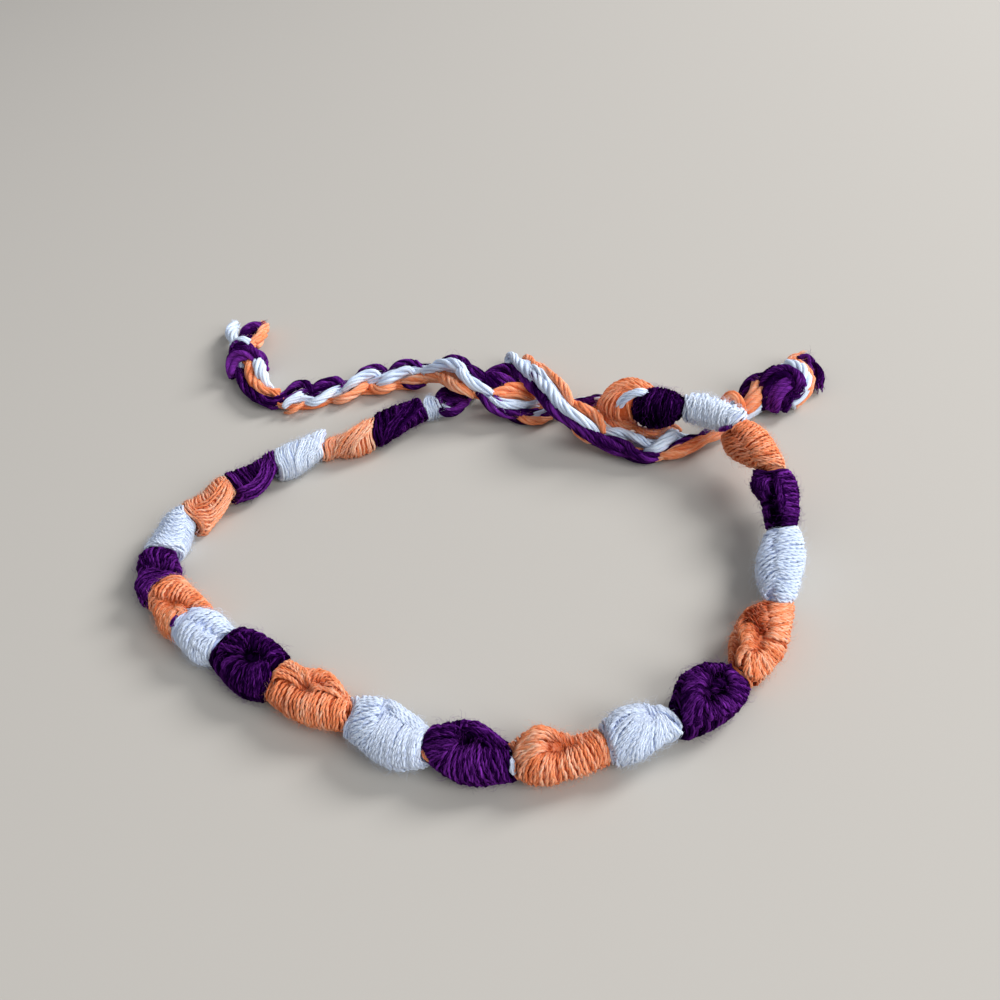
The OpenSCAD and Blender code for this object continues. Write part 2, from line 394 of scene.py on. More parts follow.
class Skein:
    """Collects threads as closed tubes and makes them one mesh."""

    def __init__(self, seed: int) -> None:
        """Starts empty, with its own random numbers.

        Args:
            seed: what the random numbers start from.
        """
        self.random = np.random.default_rng(seed)
        self.parts: defaultdict[str, list[Array]] = defaultdict(list)
        self.count = 0

    def thread(self, line: Array, radius: Array | float, sides: int, lead: Array, tone: float,
               gap_shade: Array | float = 0.0) -> None:
        """Adds one thread.

        Args:
            line: the points of its middle line.
            radius: its radius, everywhere or at each point.
            sides: sides of the tube.
            lead: directions, not along the line, from which the tube's turn is counted.
            tone: how light the thread is, from 0 to 1.
            gap_shade: painted shade for lying in a gap, from 0 to 1, everywhere or at each point.
        """
        n, parts = len(line), self.parts
        radius = np.broadcast_to(np.asarray(radius, float), (n,))
        _, across, out = around(line, lead)
        angle = np.arange(sides) * TURN / sides
        ring = (out[:, None, :] * np.cos(angle)[None, :, None]
                - across[:, None, :] * np.sin(angle)[None, :, None])
        parts["places"].append((line[:, None, :] + ring * radius[:, None, None]).reshape(-1, 3))
        i = np.arange(n - 1)[:, None] * sides
        j = np.arange(sides)[None, :]
        k = (j + 1) % sides
        quads = np.stack([i + j, i + k, i + sides + k, i + sides + j], axis=2).reshape(-1, 4)
        parts["quads"].append(quads + self.count)
        parts["caps"].append(np.vstack([j[:, ::-1], (n - 1) * sides + j]) + self.count)
        far = distances(line) / MM + self.random.uniform(0, 50)
        u0, u1 = far[:-1, None] + 0 * j, far[1:, None] + 0 * j
        v0, v1 = j / sides + 0 * u0, (j + 1) / sides + 0 * u0
        uv = np.stack([np.stack(pair, 2) for pair in ((u0, v0), (u0, v1), (u1, v1), (u1, v0))],
                      axis=2)
        parts["quad_uv"].append(uv.reshape(-1, 2))
        cap = np.stack([np.full(sides, far[0]), j[0] / sides], 1)
        parts["cap_uv"].append(np.vstack([cap, cap]))
        parts["tone"].append(np.full(n * sides, tone))
        parts["gap_shade"].append(np.repeat(np.broadcast_to(np.asarray(gap_shade, float), (n,)), sides))
        self.count += n * sides

    def mesh(self, name: str, material: bpy.types.Material) -> Thing:
        """Makes one object of all the threads.

        Args:
            name: the object's name.
            material: its finish.

        Returns:
            The object, with its UV map and attributes.
        """
        mesh = bpy.data.meshes.new(name)
        faces = self.parts["quads"] + sorted(self.parts["caps"], key=np.size)
        mesh.from_pydata(np.vstack(self.parts["places"]), [],
                         [face for part in faces for face in part.tolist()])
        mesh.shade_smooth()
        uvs = np.vstack(self.parts["quad_uv"] + sorted(self.parts["cap_uv"], key=np.size))
        layer = mesh.uv_layers.new(name=UV_NAME)
        layer.data.foreach_set("uv", uvs.reshape(-1).astype(np.float32))
        for key in ("tone", "gap_shade"):
            set_values(mesh, key, np.concatenate(self.parts[key]))
        mesh.materials.append(material)
        mesh.validate()
        thing = bpy.data.objects.new(name, mesh)
        bpy.context.scene.collection.objects.link(thing)
        return thing

    def rope(self, line: Array, radius: Array | float, strands: int, lay: float,
             lead: Array) -> None:
        """Adds a soft rope of fine strands laid round one middle strand.

        Args:
            line: the points of its middle line.
            radius: the rope's radius, everywhere or at each point.
            strands: how many strands lie round the middle one.
            lay: the length of one turn of the strands, in metres.
            lead: directions, not along the line, from which the turn is counted.
        """
        radius = np.broadcast_to(np.asarray(radius, float), (len(line),))
        run, across, out = around(line, lead)
        far = distances(line)
        begin, shade = self.random.uniform(0, 6.3), self.random.uniform(-0.15, 0.15)
        for k in range(strands + 1):
            ring, share = OUTER_STRAND if k < strands else MIDDLE_STRAND
            turn = (begin + TURN * (far / lay + k / strands)
                    + STRAND_SWAY * np.sin(far / lay * 5 + k * 2.2))
            swell = self.random.uniform(0.86, 1.12)
            place = line + radius[:, None] * ring * swell * swing(out, across, turn)
            size = radius * share * self.random.uniform(0.9, 1.15)
            self.thread(above(place, size), size, 6, run[:, [1, 2, 0]] + lead * 0.01,
                        np.clip(self.random.uniform(0.2, 0.8) + shade, 0, 1))

    def hairs(self, roots: Array, out: Array, lie: Array, sizes: Array, radius: float) -> None:
        """Adds stray fibres that leave a surface and lie along it.

        Args:
            roots: where the fibres leave.
            out: directions away from the surface.
            lie: directions along the surface.
            sizes: the fibres' lengths.
            radius: their radius.
        """
        t = np.linspace(0, 1, 3)[:, None]
        for root, up, side, size in zip(roots, out, lie, sizes):
            curl = self.random.uniform(-0.7, 0.7)
            rise = self.random.uniform(0.1, 0.45)
            line = root + size * (side * t + up * (rise * np.sin(t * 2.4))
                                  + np.cross(up, side) * (curl * t * t))
            # Stray fibres take light tones, towards the painted glint highlight
            self.thread(above(line, radius), radius * (1 - (1 - HAIR_TIP) * t[:, 0]), 3, up,
                        self.random.uniform(0.6, 1))


def set_values(mesh: bpy.types.Mesh, key: str, values: Array) -> None:
    """Gives each point of a mesh its value of one attribute."""
    data = mesh.attributes.new(key, "FLOAT", "POINT")
    data.data.foreach_set("value", values.astype(np.float32))


def soft_body(segments: int, rings: int, shape: Callable[[Array], Array], gap_shade: float,
              material: bpy.types.Material) -> Thing:
    """Models a soft body from a sphere.

    Args:
        segments: sides of the sphere.
        rings: its rings.
        shape: moves the sphere's points to their places.
        gap_shade: the body's painted shade, as it shows in the gaps, from 0 to 1.
        material: its finish.

    Returns:
        The body, smooth and with its faces outward.
    """
    bpy.ops.object.select_all(action="DESELECT")
    bpy.ops.mesh.primitive_uv_sphere_add(segments=segments, ring_count=rings, radius=1)
    thing = bpy.context.active_object
    mesh = thing.data
    co = np.empty(len(mesh.vertices) * 3, np.float32)
    mesh.vertices.foreach_get("co", co)
    place = shape(co.reshape(-1, 3).astype(float))
    mesh.vertices.foreach_set("co", place.reshape(-1).astype(np.float32))
    # The body is painted in shade: a low tone and its gap shade darken it
    set_values(mesh, "tone", np.full(len(place), 0.2))
    set_values(mesh, "gap_shade", np.full(len(place), gap_shade))
    mesh.uv_layers[0].name = UV_NAME
    bpy.ops.object.mode_set(mode="EDIT")
    bpy.ops.mesh.select_all(action="SELECT")
    bpy.ops.mesh.normals_make_consistent(inside=False)
    bpy.ops.object.mode_set(mode="OBJECT")
    bpy.ops.object.shade_smooth()
    mesh.materials.append(material)
    return thing


def joined(things: list[Thing], name: str) -> Thing:
    """Joins objects into the first.

    Args:
        things: the objects.
        name: the new name.

    Returns:
        The first object, which holds them all.
    """
    bpy.ops.object.select_all(action="DESELECT")
    for thing in things:
        thing.select_set(True)
    bpy.context.view_layer.objects.active = things[0]
    bpy.ops.object.join()
    things[0].name = name
    return things[0]


def settled(piece: Thing, cotton: Cotton, node: str = "") -> Thing:
    """Hides the solid that a finished piece replaces, hangs the piece on the root and logs its faces.

    Args:
        piece: the piece.
        cotton: its main cotton.
        node: the node whose solid it replaces, if any.

    Returns:
        The piece.
    """
    if node:
        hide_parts(node)
    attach(piece, "root")
    cotton.slot
    LOG.info("%s: %d faces", piece.name, len(piece.data.polygons))
    return piece


# The band


@dataclass(frozen=True)
class Outline:
    """A leaf's outline from the photograph.

    view is the angle round the band of the side that is seen. outer and inner are hundredths of
    the full size at five places along the leaf, 90 degrees to either side of the view. joint is
    how far the leaf reaches past its end, in millimetres: outer side, middle and inner side.
    """

    view: float
    outer: tuple[int, ...]
    inner: tuple[int, ...]
    joint: Triple


@dataclass(frozen=True)
class Dimple:
    """A dimple that threads run into: its place, angle, depth, width in degrees, length and the
    painted shade laid in it."""

    at: float
    angle: float
    depth: float
    width: float
    length: float
    painted_shade: float = 0.0

    def near(self, u: Array, angle: Array) -> Array:
        """How near places on the leaf are to its middle, from 0 to 1."""
        return np.exp(-((apart(angle, self.angle) / self.width) ** 2
                        + ((u - self.at) / self.length) ** 2))


@dataclass(frozen=True)
class Comb:
    """Threads combed from one guide to the next, lift millimetres up.

    A guide's points are hundredths of the leaf's length and angles, in turn. dive is how far
    down the threads' ends are tucked in, and it paints those ends in shade.
    """

    count: int
    lift: float
    guides: tuple[tuple[int, ...], ...]
    dive: float = 0.34


@dataclass(frozen=True)
class BandPiece:
    """One length of the band: where it starts, in millimetres, and shares of the usual size.

    turn is its lean in degrees and loose how loosely its threads lie. lighter is painted light and
    shade: a shift of its threads' tone that brightens or darkens the piece as the light falls on it.
    """

    name: str
    cotton: Cotton
    start: Triple
    wide: float
    thick: float
    turn: float
    outline: Outline
    dimples: tuple[Dimple, ...] = ()
    combs: tuple[Comb, ...] = ()
    loose: float = 1.0
    painted_light_shift: float = 0.0


LEAF_WIDTH, LEAF_HEIGHT, LEAF_PRESS = 5.0, 3.7, 0.2
HAIRS = {P: 340, O: 480, W: 720}
NO_JOINT = Outline(145, (), (), (0, 0, 0))
BAND = [
    BandPiece("left_end_wrap", W, (0, 26.4, 0), 0.8, 0.92, 0,
        Outline(145, (62, 70, 75, 80, 80), (85, 85, 80, 80, 80), (-1.1, 0, 0)), painted_light_shift=0.4),
    BandPiece("purple_leaf_1", P, (-1.9, 25.8, 0), 0.94, 0.92, 0,
        Outline(145, (96, 99, 114, 123, 124), (74, 67, 70, 78, 88), (-1.1, 0.3, 0.5)),
        (Dimple(0.77, 106, 0.14, 30, 0.2),),
        (Comb(6, 0.16, ((25, 60, 47, 102, 77, 131, 96, 186), (0, 100, 20, 128, 52, 152, 73, 196))),),
        painted_light_shift=-0.3),
    BandPiece("orange_leaf_1", O, (-7.9, 23.1, 0), 0.86, 0.92, 6,
        Outline(145, (109, 107, 83, 47, 42), (108, 117, 116, 97, 104), (-0.5, 0.5, 0.9)),
        (Dimple(0.51, 180, 0.1, 30, 0.12),),
        (Comb(5, 0.22, ((35, 70, 47, 106, 67, 154, 82, 210), (0, 83, 10, 119, 28, 150, 40, 197))),),
        painted_light_shift=0.25),
    BandPiece("white_leaf_1", W, (-13.8, 23, 0), 0.92, 0.92, 0,
        Outline(145, (110, 103, 95, 99, 95), (79, 99, 112, 121, 105), (-0.5, 0.1, 0.7)),
        (),
        (Comb(5, 0.16, ((32, 64, 44, 107, 65, 152, 68, 208), (0, 104, 8, 137, 26, 162, 32, 208))),),
        painted_light_shift=0.3),
    BandPiece("purple_leaf_2", P, (-19.6, 21.2, 0), 1.08, 0.92, -6,
        Outline(145, (103, 84, 84, 97, 109), (45, 86, 101, 102, 84), (0.2, 0.2, 1.2)),
        (Dimple(0.66, 131, 0.3, 30, 0.2),),
        (Comb(6, 0.26, ((19, 76, 39, 126, 66, 152, 100, 142), (0, 119, 17, 168, 49, 200, 100, 210))),)),
    BandPiece("orange_leaf_2", O, (-24.4, 18.5, 0), 0.94, 0.92, 0,
        Outline(145, (113, 102, 81, 80, 94), (48, 85, 109, 120, 125), (-0.4, 0.6, 1.2)),
        (Dimple(0.68, 114, 0.16, 30, 0.2),),
        (Comb(6, 0.22, ((4, 77, 29, 108, 54, 120, 83, 104), (0, 110, 25, 156, 66, 180, 100, 144),
          (7, 143, 34, 196, 78, 209, 100, 236))),), painted_light_shift=0.2),
    BandPiece("white_leaf_2", W, (-29.3, 15, 0), 0.92, 0.92, 6,
        Outline(135, (97, 100, 90, 87, 97), (74, 95, 108, 113, 107), (0.5, 0.6, 0.7)),
        (),
        (Comb(9, 0.06, ((0, 91, 13, 76, 21, 55), (13, 127, 41, 103, 46, 55), (42, 160, 81, 118, 70, 55),
          (100, 169, 100, 116, 94, 48))),)),
    BandPiece("purple_leaf_3", P, (-31.6, 10.3, 0), 1, 0.97, 0,
        Outline(115, (100, 102, 89, 107, 100), (70, 80, 93, 96, 96), (1.15, -0.35, -0.6)),
        (Dimple(0.76, 100, 0.24, 26, 0.2),),
        (Comb(7, 0.18, ((100, 150, 100, 100, 100, 68, 100, 32), (93, 150, 90, 98, 82, 54, 91, 24),
          (80, 119, 66, 77, 69, 46, 76, 26))),
         Comb(8, 0.1, ((62, 77, 32, 54, 10, 36), (64, 89, 27, 78, 8, 78), (76, 112, 39, 112, 12, 116),
          (82, 136, 51, 146, 32, 172))))),
    BandPiece("orange_leaf_3", O, (-31, 3.9, 0), 1.02, 0.97, -8,
        Outline(75, (81, 78, 104, 114, 106), (103, 107, 108, 105, 95), (-0.4, -1.1, 0.2)),
        (Dimple(0.72, 90, 0.28, 22, 0.16, 0.4), Dimple(1, 122, 0.18, 20, 0.14)),
        (Comb(9, 0.08, ((29, 68, 19, 44, 12, 20), (58, 78, 58, 56, 64, 38), (72, 84, 76, 56, 79, 18),
          (83, 92, 89, 61, 94, 4), (100, 102, 100, 79, 100, 50))),
         Comb(5, 0.2, ((91, 100, 77, 86, 78, 66, 84, 40), (100, 96, 90, 84, 97, 56, 100, 13))),
         Comb(9, 0.1, ((30, 73, 20, 92, 20, 115), (65, 90, 52, 114, 33, 150), (84, 102, 74, 130, 67, 160),
          (100, 114, 96, 138, 90, 163), (100, 120, 100, 140, 100, 164))))),
    BandPiece("white_leaf_3", W, (-27, -2, 0), 0.96, 0.97, 0,
        Outline(75, (106, 111, 116, 113, 81), (95, 104, 101, 90, 91), (0.2, -0.6, -0.7)),
        (Dimple(0.71, 85, 0.05, 24, 0.2),),
        (Comb(9, 0.1, ((27, 78, 30, 52, 35, 26), (51, 84, 53, 46, 59, 13), (72, 90, 75, 49, 75, -12),
          (90, 98, 95, 56, 99, -11)), 0.14),
         Comb(7, 0.1, ((27, 80, 27, 106, 31, 126), (50, 90, 48, 122, 38, 156), (70, 96, 67, 138, 92, 148),
          (88, 100, 97, 128, 100, 164)), 0.14),
         Comb(3, 0.18, ((74, 80, 67, 61, 70, 37), (86, 85, 83, 61, 86, 31)), 0.14))),
    BandPiece("purple_leaf_4", P, (-23.4, -6.5, 0), 1.26, 1.08, -6,
        Outline(70, (70, 79, 87, 88, 71), (93, 104, 106, 104, 90), (0.5, 0.2, -0.4)),
        (Dimple(0.6, 104, 0.34, 26, 0.13, 0.5), Dimple(0.39, 88, 0.12, 20, 0.2, 0.2)),
        (Comb(15, 0.06, ((57, 98, 43, 82, 34, 62, 37, 38), (62, 96, 60, 77, 65, 54, 68, 6),
          (71, 101, 81, 83, 92, 53, 93, -7), (79, 108, 91, 100, 100, 70, 100, -4))),
         Comb(12, 0.06, ((53, 96, 36, 88, 20, 77, 15, 64), (50, 102, 32, 108, 16, 110, 9, 112),
          (56, 113, 45, 126, 29, 144), (71, 118, 73, 134, 68, 158), (80, 114, 87, 131, 100, 149)))),
        painted_light_shift=-0.2),
    BandPiece("orange_leaf_4", O, (-18.5, -11.6, 0), 1.08, 1.03, 0,
        Outline(65, (77, 88, 91, 82, 65), (96, 96, 117, 98, 71), (0.3, 0.4, -1)),
        (Dimple(0.45, 84, 0.24, 16, 0.1, 0.3), Dimple(0.59, 116, 0.22, 18, 0.12, 0.5)),
        (Comb(14, 0.1, ((13, 88, 12, 51, 12, 22), (43, 93, 47, 60, 51, 38, 56, -6),
          (67, 106, 69, 68, 74, 40, 77, -10), (92, 128, 94, 80, 100, 42, 100, -14))),
         Comb(6, 0.16, ((46, 86, 25, 92, 11, 87, 5, 70), (46, 90, 21, 108, 4, 108, 0, 92),
          (47, 94, 28, 122, 12, 136, 3, 130), (50, 98, 39, 118, 28, 136))),
         Comb(5, 0.14, ((49, 82, 52, 102, 66, 111, 85, 111), (55, 84, 62, 99, 75, 105, 92, 108))),
         Comb(5, 0.1, ((48, 108, 49, 129, 55, 148), (55, 111, 56, 138, 70, 152, 86, 147),
          (59, 106, 68, 123, 81, 132, 91, 130))))),
    BandPiece("white_leaf_4", W, (-11.6, -17.3, 0), 1.24, 1.05, 4,
        Outline(65, (67, 77, 93, 95, 74), (72, 91, 87, 76, 67), (0.9, 0, -0.3)),
        (Dimple(0.47, 96, 0.12, 24, 0.14), Dimple(0.76, 102, 0.08, 22, 0.1)),
        (Comb(8, 0.1, ((38, 138, 23, 130, 10, 124, 0, 100), (40, 108, 30, 93, 18, 81, 7, 60),
          (46, 90, 38, 72, 28, 46, 16, 12), (52, 76, 49, 50, 39, 21, 32, 2))),
         Comb(9, 0.12, ((43, 130, 46, 78, 47, 40, 46, 4), (55, 132, 60, 80, 64, 36, 65, -9),
          (71, 130, 70, 78, 74, 40, 74, -10))),
         Comb(8, 0.16, ((76, 130, 74, 80, 77, 42, 78, -9), (86, 132, 86, 76, 89, 34, 89, -15),
          (99, 132, 97, 82, 100, 45, 100, -21))),
         Comb(6, 0.2, ((33, 150, 53, 152, 74, 150, 100, 128), (42, 116, 60, 110, 78, 104, 98, 94))))),
    BandPiece("purple_leaf_5", P, (-5.4, -21.9, 0), 1.24, 1.08, -4,
        Outline(55, (52, 81, 95, 91, 81), (66, 87, 94, 77, 42), (0.4, -0.1, -0.8)),
        (Dimple(0.5, 94, 0.3, 24, 0.13, 0.25), Dimple(0.81, 92, 0.1, 20, 0.16)),
        (Comb(9, 0.1, ((45, 128, 26, 126, 8, 126, 0, 92), (47, 106, 31, 104, 11, 101, 0, 76),
          (46, 90, 33, 84, 18, 72, 3, 56), (45, 80, 34, 70, 20, 54, 12, 30))),
         Comb(7, 0.2, ((44, 118, 60, 108, 73, 96, 81, 82), (47, 132, 66, 128, 83, 136, 94, 116),
          (54, 144, 69, 143, 83, 137, 97, 114))),
         Comb(15, 0.08, ((38, 86, 27, 60, 16, 40, 16, 16), (46, 102, 42, 62, 41, 26, 43, -1),
          (56, 106, 55, 66, 58, 35, 59, -1), (70, 96, 75, 58, 80, 28, 82, -4),
          (87, 106, 95, 60, 100, 22, 100, -26))))),
    BandPiece("orange_leaf_5", O, (2, -24.6, 0), 1.14, 1.03, 0,
        Outline(55, (92, 103, 90, 82, 65), (52, 89, 73, 56, 62), (0, 0, -0.3)),
        (Dimple(0.47, 84, 0.36, 26, 0.12, 0.5), Dimple(0.62, 96, 0.16, 24, 0.1)),
        (Comb(9, 0.12, ((40, 76, 28, 68, 17, 54, 9, 36), (43, 90, 28, 88, 11, 77, 0, 56),
          (49, 113, 34, 112, 15, 102, 0, 76), (57, 110, 47, 138, 25, 130, 0, 89))),
         Comb(15, 0.08, ((24, 72, 15, 54, 10, 32, 8, -6), (36, 76, 29, 47, 27, 26, 25, -12),
          (48, 79, 47, 42, 47, 18, 46, -16), (60, 104, 66, 52, 69, 23, 72, -16),
          (78, 132, 85, 66, 88, 30, 88, 0), (96, 140, 100, 68, 100, 32, 100, -7)))), painted_light_shift=0.12),
    BandPiece("white_leaf_5", W, (9.4, -25.6, 0), 1.04, 1, 4,
        Outline(55, (79, 85, 76, 60, 68), (96, 116, 111, 97, 48), (-0.9, -0.3, 0.2)),
        (Dimple(0.69, 107, 0.14, 26, 0.14),),
        (Comb(6, 0.08, ((0, 95, 16, 125, 43, 132, 70, 137), (0, 82, 17, 106, 43, 113, 68, 113))),
         Comb(18, 0.08, ((67, 110, 39, 104, 15, 89, 1, 64), (68, 101, 42, 78, 19, 46, 7, -14),
          (69, 98, 53, 70, 36, 38, 32, -12), (73, 100, 71, 66, 68, 32, 74, -13),
          (77, 107, 84, 76, 88, 32, 98, -10))),
         Comb(4, 0.08, ((77, 134, 89, 131, 100, 74, 100, 29), (77, 110, 89, 92, 96, 50, 99, 11))))),
    BandPiece("purple_leaf_6", P, (15.5, -24.3, 0), 1.14, 1.08, -10,
        Outline(60, (76, 86, 89, 87, 74), (59, 99, 102, 88, 43), (-0.9, -1, 0)),
        (Dimple(0.71, 96, 0.34, 24, 0.12, 0.9), Dimple(0.63, 67, 0.16, 13, 0.07, 0.6), Dimple(0.41, 67,
         0.12, 12, 0.08, 0.5), Dimple(0.49, 80, 0.14, 16, 0.1, 0.3), Dimple(0.16, 136, 0, 26, 0.14, 0.6)),
        (Comb(15, 0.1, ((60, 102, 55, 115, 51, 133, 43, 139), (54, 97, 46, 109, 35, 120, 22, 126),
          (49, 91, 38, 103, 26, 109, 14, 114), (43, 88, 31, 96, 19, 91, 7, 73),
          (37, 85, 26, 82, 14, 66, 3, 37), (37, 78, 27, 66, 20, 46, 15, 19))),
         Comb(6, 0.16, ((36, 79, 31, 66, 30, 50, 29, 34), (41, 76, 39, 61, 39, 44, 41, 22))),
         Comb(15, 0.1, ((43, 73, 42, 56, 44, 37, 50, 14), (51, 72, 51, 54, 56, 34, 64, 14),
          (58, 66, 62, 48, 69, 26, 78, 4), (67, 62, 74, 46, 82, 20, 89, 2),
          (73, 68, 83, 52, 90, 31, 98, 6))),
         Comb(8, 0.08, ((75, 72, 87, 56, 97, 36, 100, 18), (79, 84, 93, 72, 100, 50, 100, 36),
          (83, 108, 96, 103, 100, 80))),
         Comb(4, 0.04, ((68, 106, 69, 121, 66, 134), (79, 109, 83, 126, 83, 134))),
         Comb(5, 0.02, ((49, 80, 57, 79, 66, 72, 73, 62), (48, 76, 56, 72, 63, 67, 70, 58))))),
    BandPiece("orange_leaf_6", O, (21.9, -20.8, 0), 1.02, 1.03, -6,
        Outline(75, (84, 92, 99, 88, 79), (59, 89, 96, 91, 57), (0.6, -0.8, -0.5)),
        (Dimple(0.53, 88, 0.24, 18, 0.08, 0.5), Dimple(0.68, 124, 0.04, 40, 0.22, 1), Dimple(0.4, 80,
         0.16, 16, 0.1), Dimple(0.14, 118, 0, 24, 0.14, 0.5)),
        (Comb(14, 0.1, ((87, 108, 94, 74, 99, 42, 99, 8), (74, 98, 82, 73, 91, 46, 94, 7),
          (63, 88, 71, 66, 81, 43, 86, 7), (54, 80, 61, 60, 67, 38, 73, 7),
          (46, 74, 50, 55, 55, 31, 58, 7))),
         Comb(16, 0.08, ((42, 73, 43, 52, 46, 25, 47, 4), (36, 67, 36, 46, 37, 18, 36, 1),
          (31, 68, 27, 49, 25, 20, 25, 1), (28, 73, 21, 54, 16, 30, 15, -2),
          (26, 79, 16, 64, 8, 42, 5, 12), (26, 85, 15, 80, 4, 66, 1, 43))),
         Comb(9, 0.16, ((29, 86, 20, 94, 10, 94, 5, 85), (34, 91, 25, 104, 14, 110, 6, 102))),
         Comb(12, 0.12, ((32, 80, 26, 90, 19, 97, 12, 94), (38, 85, 35, 100, 26, 106, 17, 100),
          (45, 88, 45, 106, 36, 120, 22, 112), (50, 88, 52, 114, 45, 132, 27, 127))),
         Comb(10, 0.04, ((54, 88, 59, 115, 55, 139, 35, 142), (62, 92, 69, 121, 66, 144, 51, 154),
          (72, 98, 81, 124, 80, 148, 69, 156))),
         Comb(8, 0.02, ((83, 97, 84, 116, 85, 140), (76, 85, 69, 98, 64, 114), (67, 79, 60, 91, 57, 103),
          (59, 73, 54, 82, 51, 90))))),
    BandPiece("white_leaf_6", W, (27, -14.6, 0.4), 0.94, 0.97, 0,
        Outline(90, (82, 88, 98, 96, 82), (49, 83, 93, 84, 65), (0.5, -0.7, -0.4)),
        (Dimple(0.72, 108, 0.06, 22, 0.16), Dimple(0.17, 96, 0.06, 24, 0.14)),
        (Comb(14, 0.08, ((94, 98, 98, 64, 97, 25), (67, 104, 73, 67, 75, 14), (41, 103, 46, 67, 50, 13),
          (22, 98, 24, 62, 26, 13), (2, 82, 1, 46, 0, 12)), 0.12),
         Comb(8, 0.05, ((93, 96, 84, 130, 67, 152, 42, 146), (67, 96, 59, 124, 46, 151, 27, 148),
          (42, 92, 32, 118, 20, 145, 5, 138), (20, 88, 12, 112, 6, 140, 2, 138)), 0.1))),
    BandPiece("purple_leaf_7", P, (30.2, -6.9, 1.3), 0.96, 0.97, -8,
        Outline(95, (80, 86, 91, 94, 86), (62, 66, 78, 102, 80), (-0.6, -1.2, 0.2)),
        (Dimple(0.4, 123, 0.34, 13, 0.16, 1), Dimple(0.17, 120, 0.34, 26, 0.14, 1), Dimple(0.57, 172, 0,
         22, 0.18, 0.6), Dimple(0.78, 106, 0.12, 12, 0.14, 0.3)),
        (Comb(13, 0.08, ((88, 92, 92, 68, 93, 33), (69, 93, 71, 70, 74, 28), (52, 93, 51, 68, 53, 27),
          (30, 90, 28, 68, 28, 21), (7, 88, 5, 68, 4, 21))),
         Comb(6, 0.14, ((87, 104, 63, 100, 42, 96, 23, 92), (86, 94, 64, 87, 42, 81, 20, 78))),
         Comb(9, 0.14, ((86, 142, 72, 158, 60, 160, 46, 150), (86, 126, 68, 140, 55, 140, 42, 129),
          (83, 112, 67, 120, 56, 123, 43, 123))),
         Comb(5, 0, ((40, 148, 28, 154, 13, 140, 5, 129), (37, 132, 24, 128, 13, 116, 5, 105))))),
    BandPiece("orange_leaf_7", O, (31.7, 0.3, 2.4), 1, 1, 6,
        Outline(115, (71, 69, 70, 66, 43), (51, 95, 119, 125, 107), (-0.1, -1.2, -0.4)),
        (Dimple(0.42, 134, 0.1, 24, 0.2, 0.2), Dimple(0.84, 150, 0.16, 28, 0.12, 0.4), Dimple(0.7, 124,
         0.02, 18, 0.12, 0.5), Dimple(0.52, 170, 0, 22, 0.24, 0.4)),
        (Comb(13, 0.08, ((86, 150, 95, 120, 100, 84), (66, 140, 76, 95, 82, 40),
          (48, 136, 54, 88, 55, 36), (32, 138, 32, 92, 30, 34), (16, 138, 10, 92, 2, 29)), 0.14),
         Comb(7, 0.05, ((84, 132, 86, 150, 88, 172), (60, 124, 64, 154, 68, 180),
          (36, 124, 40, 155, 44, 190), (18, 130, 14, 143, 10, 150)), 0.12)), loose=1.2),
    BandPiece("white_leaf_7", W, (30.5, 7.7, 3.1), 0.92, 0.95, 0,
        Outline(140, (86, 81, 85, 91, 85), (58, 91, 93, 90, 83), (0.5, -0.1, 0.1)),
        (),
        (Comb(14, 0.08, ((92, 78, 92, 130, 84, 186), (70, 69, 66, 128, 51, 192),
          (43, 68, 40, 126, 21, 196), (14, 54, 14, 105, 8, 153))),), loose=1.6, painted_light_shift=0.5),
    BandPiece("purple_leaf_8", P, (26.7, 11.9, 3), 1.08, 1.08, -6,
        Outline(145, (54, 80, 94, 90, 62), (68, 111, 127, 120, 84), (-0.9, -1, -0.8)),
        (Dimple(0.6, 178, 0.06, 55, 0.5, 0.8),),
        (Comb(14, 0.08, ((83, 74, 98, 138, 87, 215), (55, 82, 63, 144, 54, 212),
          (28, 86, 28, 146, 22, 222), (3, 88, 8, 143, 1, 202))),
         Comb(3, 0.18, ((32, 101, 16, 130, 13, 172, 27, 197), (17, 104, 4, 134, 1, 178)))),
        loose=2, painted_light_shift=-0.3),
    BandPiece("right_end_wrap", O, (20.9, 15.2, 2.3), 0.92, 0.94, 0,
        Outline(140, (100, 100, 100, 90, 80), (90, 95, 100, 95, 85), (0, 0, 0))),
    BandPiece("band_end", O, (19.4, 18, 1.5), 0.92, 0.94, 0, NO_JOINT),
]


